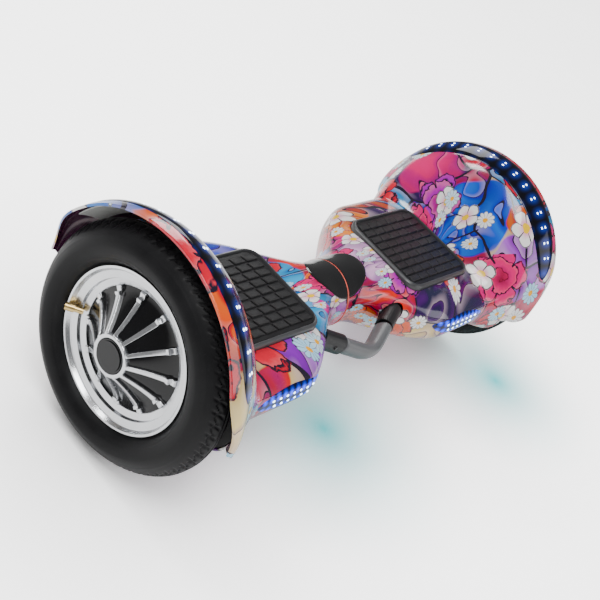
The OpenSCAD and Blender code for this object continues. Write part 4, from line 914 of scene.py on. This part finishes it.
caps = np.stack([blocks[:, 0].mean(axis=1), blocks[:, -1].mean(axis=1)], axis=1)[:, :, None, :]
blocks = np.concatenate([np.broadcast_to(caps[:, :1], blocks[:, :1].shape), blocks,
                         np.broadcast_to(caps[:, 1:], blocks[:, :1].shape)], axis=1)
block_faces = np.concatenate([grid_faces(5, 4, False, True, start=i * 20) for i in range(len(blocks))])
for side_name, side in SIDES:
    pad = side_name + "_pad"
    make_piece(f"{side_name}_pad_frame", to_side(pad_frame, side), grid_faces(len(frame_rows), 48, True, True),
               finish["pad_edge"], pad, 30, replaces=(f"{side_name}_foot_pad",))
    make_piece(f"{side_name}_pad_mat", to_side(mat, side), grid_faces(len(mat), 48, False, True),
               finish["pad_rubber"], pad, 30)
    make_piece(f"{side_name}_pad_blocks", to_side(blocks, side), block_faces, finish["pad_rubber"], pad, 20)
print("blocks a pad:", len(blocks))

# %% [markdown]
# The handle is one thick bar with an oval section, swept along two straight legs and a bend
# between them. Its ends step down to thin tongues inside the rubber boots, one pinned and one
# loose, so the bar can give a little when the halves twist.

# %% Handle grip
HANDLE_ROOT = np.array([74.0, -60.0, -1.0])
LEG_OUT, LEG_DOWN = math.radians(24.1), math.radians(12.4)
LEG = np.array([math.cos(LEG_DOWN) * math.cos(LEG_OUT), math.cos(LEG_DOWN) * math.sin(LEG_OUT), math.sin(LEG_DOWN)])
GRIP_BEND, GRIP_TALL, GRIP_DEEP = 34.0, 26.0, 18.0
apex = HANDLE_ROOT - LEG * (HANDLE_ROOT[0] / LEG[0])
half_turn = math.asin(math.hypot(LEG[1], LEG[2]))
drop = np.array([0, LEG[1], LEG[2]]) / math.hypot(LEG[1], LEG[2])
bend_mid = apex + drop * (GRIP_BEND / math.cos(half_turn))
bend_a = np.linspace(-half_turn, half_turn, 33)[:, None]
bend = bend_mid + GRIP_BEND * (np.sin(bend_a) * np.array([1, 0, 0]) - drop * np.cos(bend_a))
leg_d = np.array([14.0, 33.6, 34.0, 34.2, 34.5, 35.2, 36.4, 38.0, 42.0])
leg_size = np.array([[17, 9], [17, 9], [17, 9], [21, 13], [23.4, 15.4], [25.2, 17.2], [26, 18], [26, 18], [26, 18]])
right_leg = HANDLE_ROOT - LEG * leg_d[:, None]
left_leg = right_leg * [-1, 1, 1]
route = np.concatenate([left_leg, bend, right_leg[::-1]])
sizes = np.concatenate([leg_size, np.broadcast_to([GRIP_TALL, GRIP_DEEP], (len(bend), 2)), leg_size[::-1]])
heading = np.gradient(route, axis=0)
heading /= np.linalg.norm(heading, axis=1, keepdims=True)
tall_way = np.cross(np.cross(heading, [0, -LEG[2], LEG[1]]), heading)
tall_way /= np.linalg.norm(tall_way, axis=1, keepdims=True)
deep_way = np.cross(heading, tall_way)
oval_a = np.linspace(0, 2 * np.pi, 40, endpoint=False)
oval_tall, oval_deep = np.cos(oval_a), np.sin(oval_a)
grip = (route[:, None, :] + sizes[:, :1, None] / 2 * oval_tall[None, :, None] * tall_way[:, None, :]
        + sizes[:, 1:, None] / 2 * oval_deep[None, :, None] * deep_way[:, None, :])
grip = np.concatenate([np.broadcast_to(route[:1, None, :], (1, 40, 3)), grip, np.broadcast_to(route[-1:, None, :], (1, 40, 3))])
make_piece("handle_grip", grip, grid_faces(len(grip), 40, False, True), finish["handle_rubber"], "handle",
           40, replaces=("handle_bar",))
print("handle points", len(route))

# %% [markdown]
# The shells were drawn whole. Real ones have openings, so a boolean cuts them: the pad's well,
# the holes for the handle's legs, the power button and the charging port. Each cutter is a
# closed prism from the same outline rule, and the result is stored back in the mesh.

# %% Openings in the shells
def cut_with(piece, cutters):
    """Takes closed cutters, each (points, faces) in mm from the axle, out of a piece's mesh."""
    points, faces, start = [], [], 0
    for cutter_points, cutter_faces in cutters:
        cutter_points = np.asarray(cutter_points, float).reshape(-1, 3)
        points.append(cutter_points)
        faces.extend((np.asarray(cutter_faces) + start).tolist())
        start += len(cutter_points)
    mesh = bpy.data.meshes.new("cutter")
    place = np.concatenate(points) * MM
    place[:, 2] += AXLE_Z * MM
    mesh.from_pydata(place, [], faces)
    work = bmesh.new()
    work.from_mesh(mesh)
    bmesh.ops.remove_doubles(work, verts=work.verts, dist=1e-6)
    bmesh.ops.recalc_face_normals(work, faces=work.faces)
    work.to_mesh(mesh)
    work.free()
    cutter = bpy.data.objects.new("cutter", mesh)
    bpy.context.scene.collection.objects.link(cutter)
    change = piece.modifiers.new("openings", "BOOLEAN")
    change.operation, change.solver, change.object = "DIFFERENCE", "EXACT", cutter
    shaped = bpy.data.meshes.new_from_object(piece.evaluated_get(bpy.context.evaluated_depsgraph_get()))
    piece.modifiers.clear()
    piece.data = shaped
    shaped.set_sharp_from_angle(angle=math.radians(50))
    bpy.data.objects.remove(cutter)
    return piece


def prism(low_ring, high_ring):
    """A closed solid between two rings of points, with both ends drawn to their middles."""
    rows = [np.broadcast_to(low_ring.mean(axis=0), low_ring.shape), low_ring, high_ring,
            np.broadcast_to(high_ring.mean(axis=0), high_ring.shape)]
    return np.stack(rows), grid_faces(4, len(low_ring), False, True)


def tube_cutter(start, way, length, tall, deep):
    """An oval prism from a point along a direction, its tall axis as upright as it can be."""
    way = way / np.linalg.norm(way)
    flat = np.cross(way, [0.0, 0.0, 1.0])
    flat /= np.linalg.norm(flat)
    high = np.cross(flat, way)
    turn = np.linspace(0, 2 * np.pi, 40, endpoint=False)[:, None]
    ring = start + tall / 2 * np.cos(turn) * high + deep / 2 * np.sin(turn) * flat
    return prism(ring, ring + way * length)


PORT_X, PORT_Z = 150.0, -26.0
flap_notch = np.array([[PORT_X + x, 106.0, PORT_Z + z] for x, z in ((-9.5, 5), (9.5, 5), (9.5, 15), (-9.5, 15))])
leg_cutter = tube_cutter(HANDLE_ROOT + LEG * 16, -LEG, 46.0, GRIP_TALL + 2.6, GRIP_DEEP + 6.6)
well = prism(rounded_outline(-0.6, 5.0), rounded_outline(-0.6, 60.0))
for side_name, side in SIDES:
    upper, lower = bpy.data.objects[side_name + "_upper_body"], bpy.data.objects[side_name + "_lower_body"]
    cut_with(upper, [(to_side(well[0], side), well[1]), (to_side(leg_cutter[0], side), leg_cutter[1])])
    port = tube_cutter(np.array([PORT_X, 70.0, PORT_Z]), np.array([0, 1.0, 0]), 60.0, *([24.0] * 2 if side > 0 else [19.6] * 2))
    cut_with(lower, [(to_side(port[0], side), port[1]), (to_side(leg_cutter[0], side), leg_cutter[1])])
    if side > 0:
        cut_with(lower, [prism(flap_notch - [0, 12, 0], flap_notch + [0, 8, 0])])
    print(side_name, "shell faces", len(upper.data.polygons), len(lower.data.polygons))

# %% [markdown]
# A plain pale floor and large soft lamps, as for a catalogue picture. Cyan pools of light are painted into the floor's
# colour under the headlights, and a painted contact shadow darkens the floor's glow near the board.

# %% Floor and lights
def soft_light(name, place, size, power, colour=(1, 1, 1), aim=(0, 0, 0.12)):
    """A square lamp that faces its aim."""
    lamp = bpy.data.objects.new(name, bpy.data.lights.new(name, "AREA"))
    lamp.data.size, lamp.data.energy, lamp.data.color = size, power, colour
    lamp.location = place
    to_aim = Matrix.Translation(place).inverted() @ Matrix.Translation(aim)
    lamp.rotation_euler = to_aim.translation.to_track_quat("-Z", "Y").to_euler()
    bpy.context.scene.collection.objects.link(lamp)
    return lamp


floor_material, tree, shader, place, group = start_material("pale_floor_painted_glow_shadow", 20)
pale = mix_colour(tree, group.outputs["Cloud"], (0.90, 0.90, 0.90, 1), (0.94, 0.94, 0.94, 1))
# Painted light: cyan pools painted into the floor's colour round two points under the headlights, not cast by any
# lamp.
for painted_glow_at, painted_glow_reach in (((-0.02, -0.11, 0.0), 0.21), ((0.34, -0.16, 0.0), 0.18)):
    gap = add_node(tree, "ShaderNodeVectorMath", "from a headlight's glow", i0=place.outputs["Object"], i1=painted_glow_at)
    gap.operation = "DISTANCE"
    glow = calc(tree, "POWER", step_up(tree, gap.outputs["Value"], painted_glow_reach, 0.0), 1.6)
    pale = mix_colour(tree, calc(tree, "MULTIPLY", glow, 0.95), pale, (0.0, 0.30, 0.32, 1))
tree.links.new(pale, shader.inputs["Base Color"])
tree.links.new(pale, shader.inputs["Emission Color"])
rays = tree.nodes.new("ShaderNodeLightPath")
# Painted shadow: ambient occlusion darkens the floor's emission near the board, a contact shadow painted into the
# floor.
painted_contact_shadow = add_node(tree, "ShaderNodeAmbientOcclusion", "contact shadow", Distance=0.3)
painted_contact_shadow.samples = 8
bright = calc(tree, "MULTIPLY_ADD", rays.outputs["Is Camera Ray"], 2.6, 0.7)
tree.links.new(calc(tree, "MULTIPLY", bright, calc(tree, "POWER", painted_contact_shadow.outputs["AO"], 2.0)), shader.inputs["Emission Strength"])

clear = tree.nodes.new("ShaderNodeBsdfTransparent")
facing = tree.nodes.new("ShaderNodeNewGeometry")
seen_through = tree.nodes.new("ShaderNodeMixShader")
tree.links.new(facing.outputs["Backfacing"], seen_through.inputs[0])
tree.links.new(shader.outputs[0], seen_through.inputs[1])
tree.links.new(clear.outputs[0], seen_through.inputs[2])
tree.links.new(seen_through.outputs[0], tree.nodes["Material Output"].inputs["Surface"])
set_surface(tree, shader, group, (0.5, 0.6), 0.02)
floor_mesh = bpy.data.meshes.new("floor")
floor_mesh.from_pydata([(-8, -8, 0), (8, -8, 0), (8, 8, 0), (-8, 8, 0)], [], [(0, 1, 2, 3)])
floor_mesh.materials.append(floor_material)
floor = bpy.data.objects.new("floor", floor_mesh)
bpy.context.scene.collection.objects.link(floor)
world = bpy.data.worlds.new("studio")
bpy.context.scene.world = world
world.use_nodes = True
world.node_tree.nodes["Background"].inputs["Color"].default_value = (1.0, 1.0, 1.0, 1)
sky = world.node_tree
sky_rays = sky.nodes.new("ShaderNodeLightPath")
sky.links.new(calc(sky, "MULTIPLY_ADD", sky_rays.outputs["Is Camera Ray"], 1.9, 0.25), sky.nodes["Background"].inputs["Strength"])
soft_light("key", (-0.9, -0.3, 2.0), 1.0, 38)
soft_light("fill", (0.7, -1.7, 0.9), 1.2, 12)
soft_light("rim", (0.9, 1.3, 1.4), 0.8, 16)
soft_light("strip", (-0.5, 0.9, 1.3), 0.35, 9)
print("floor and lights set")
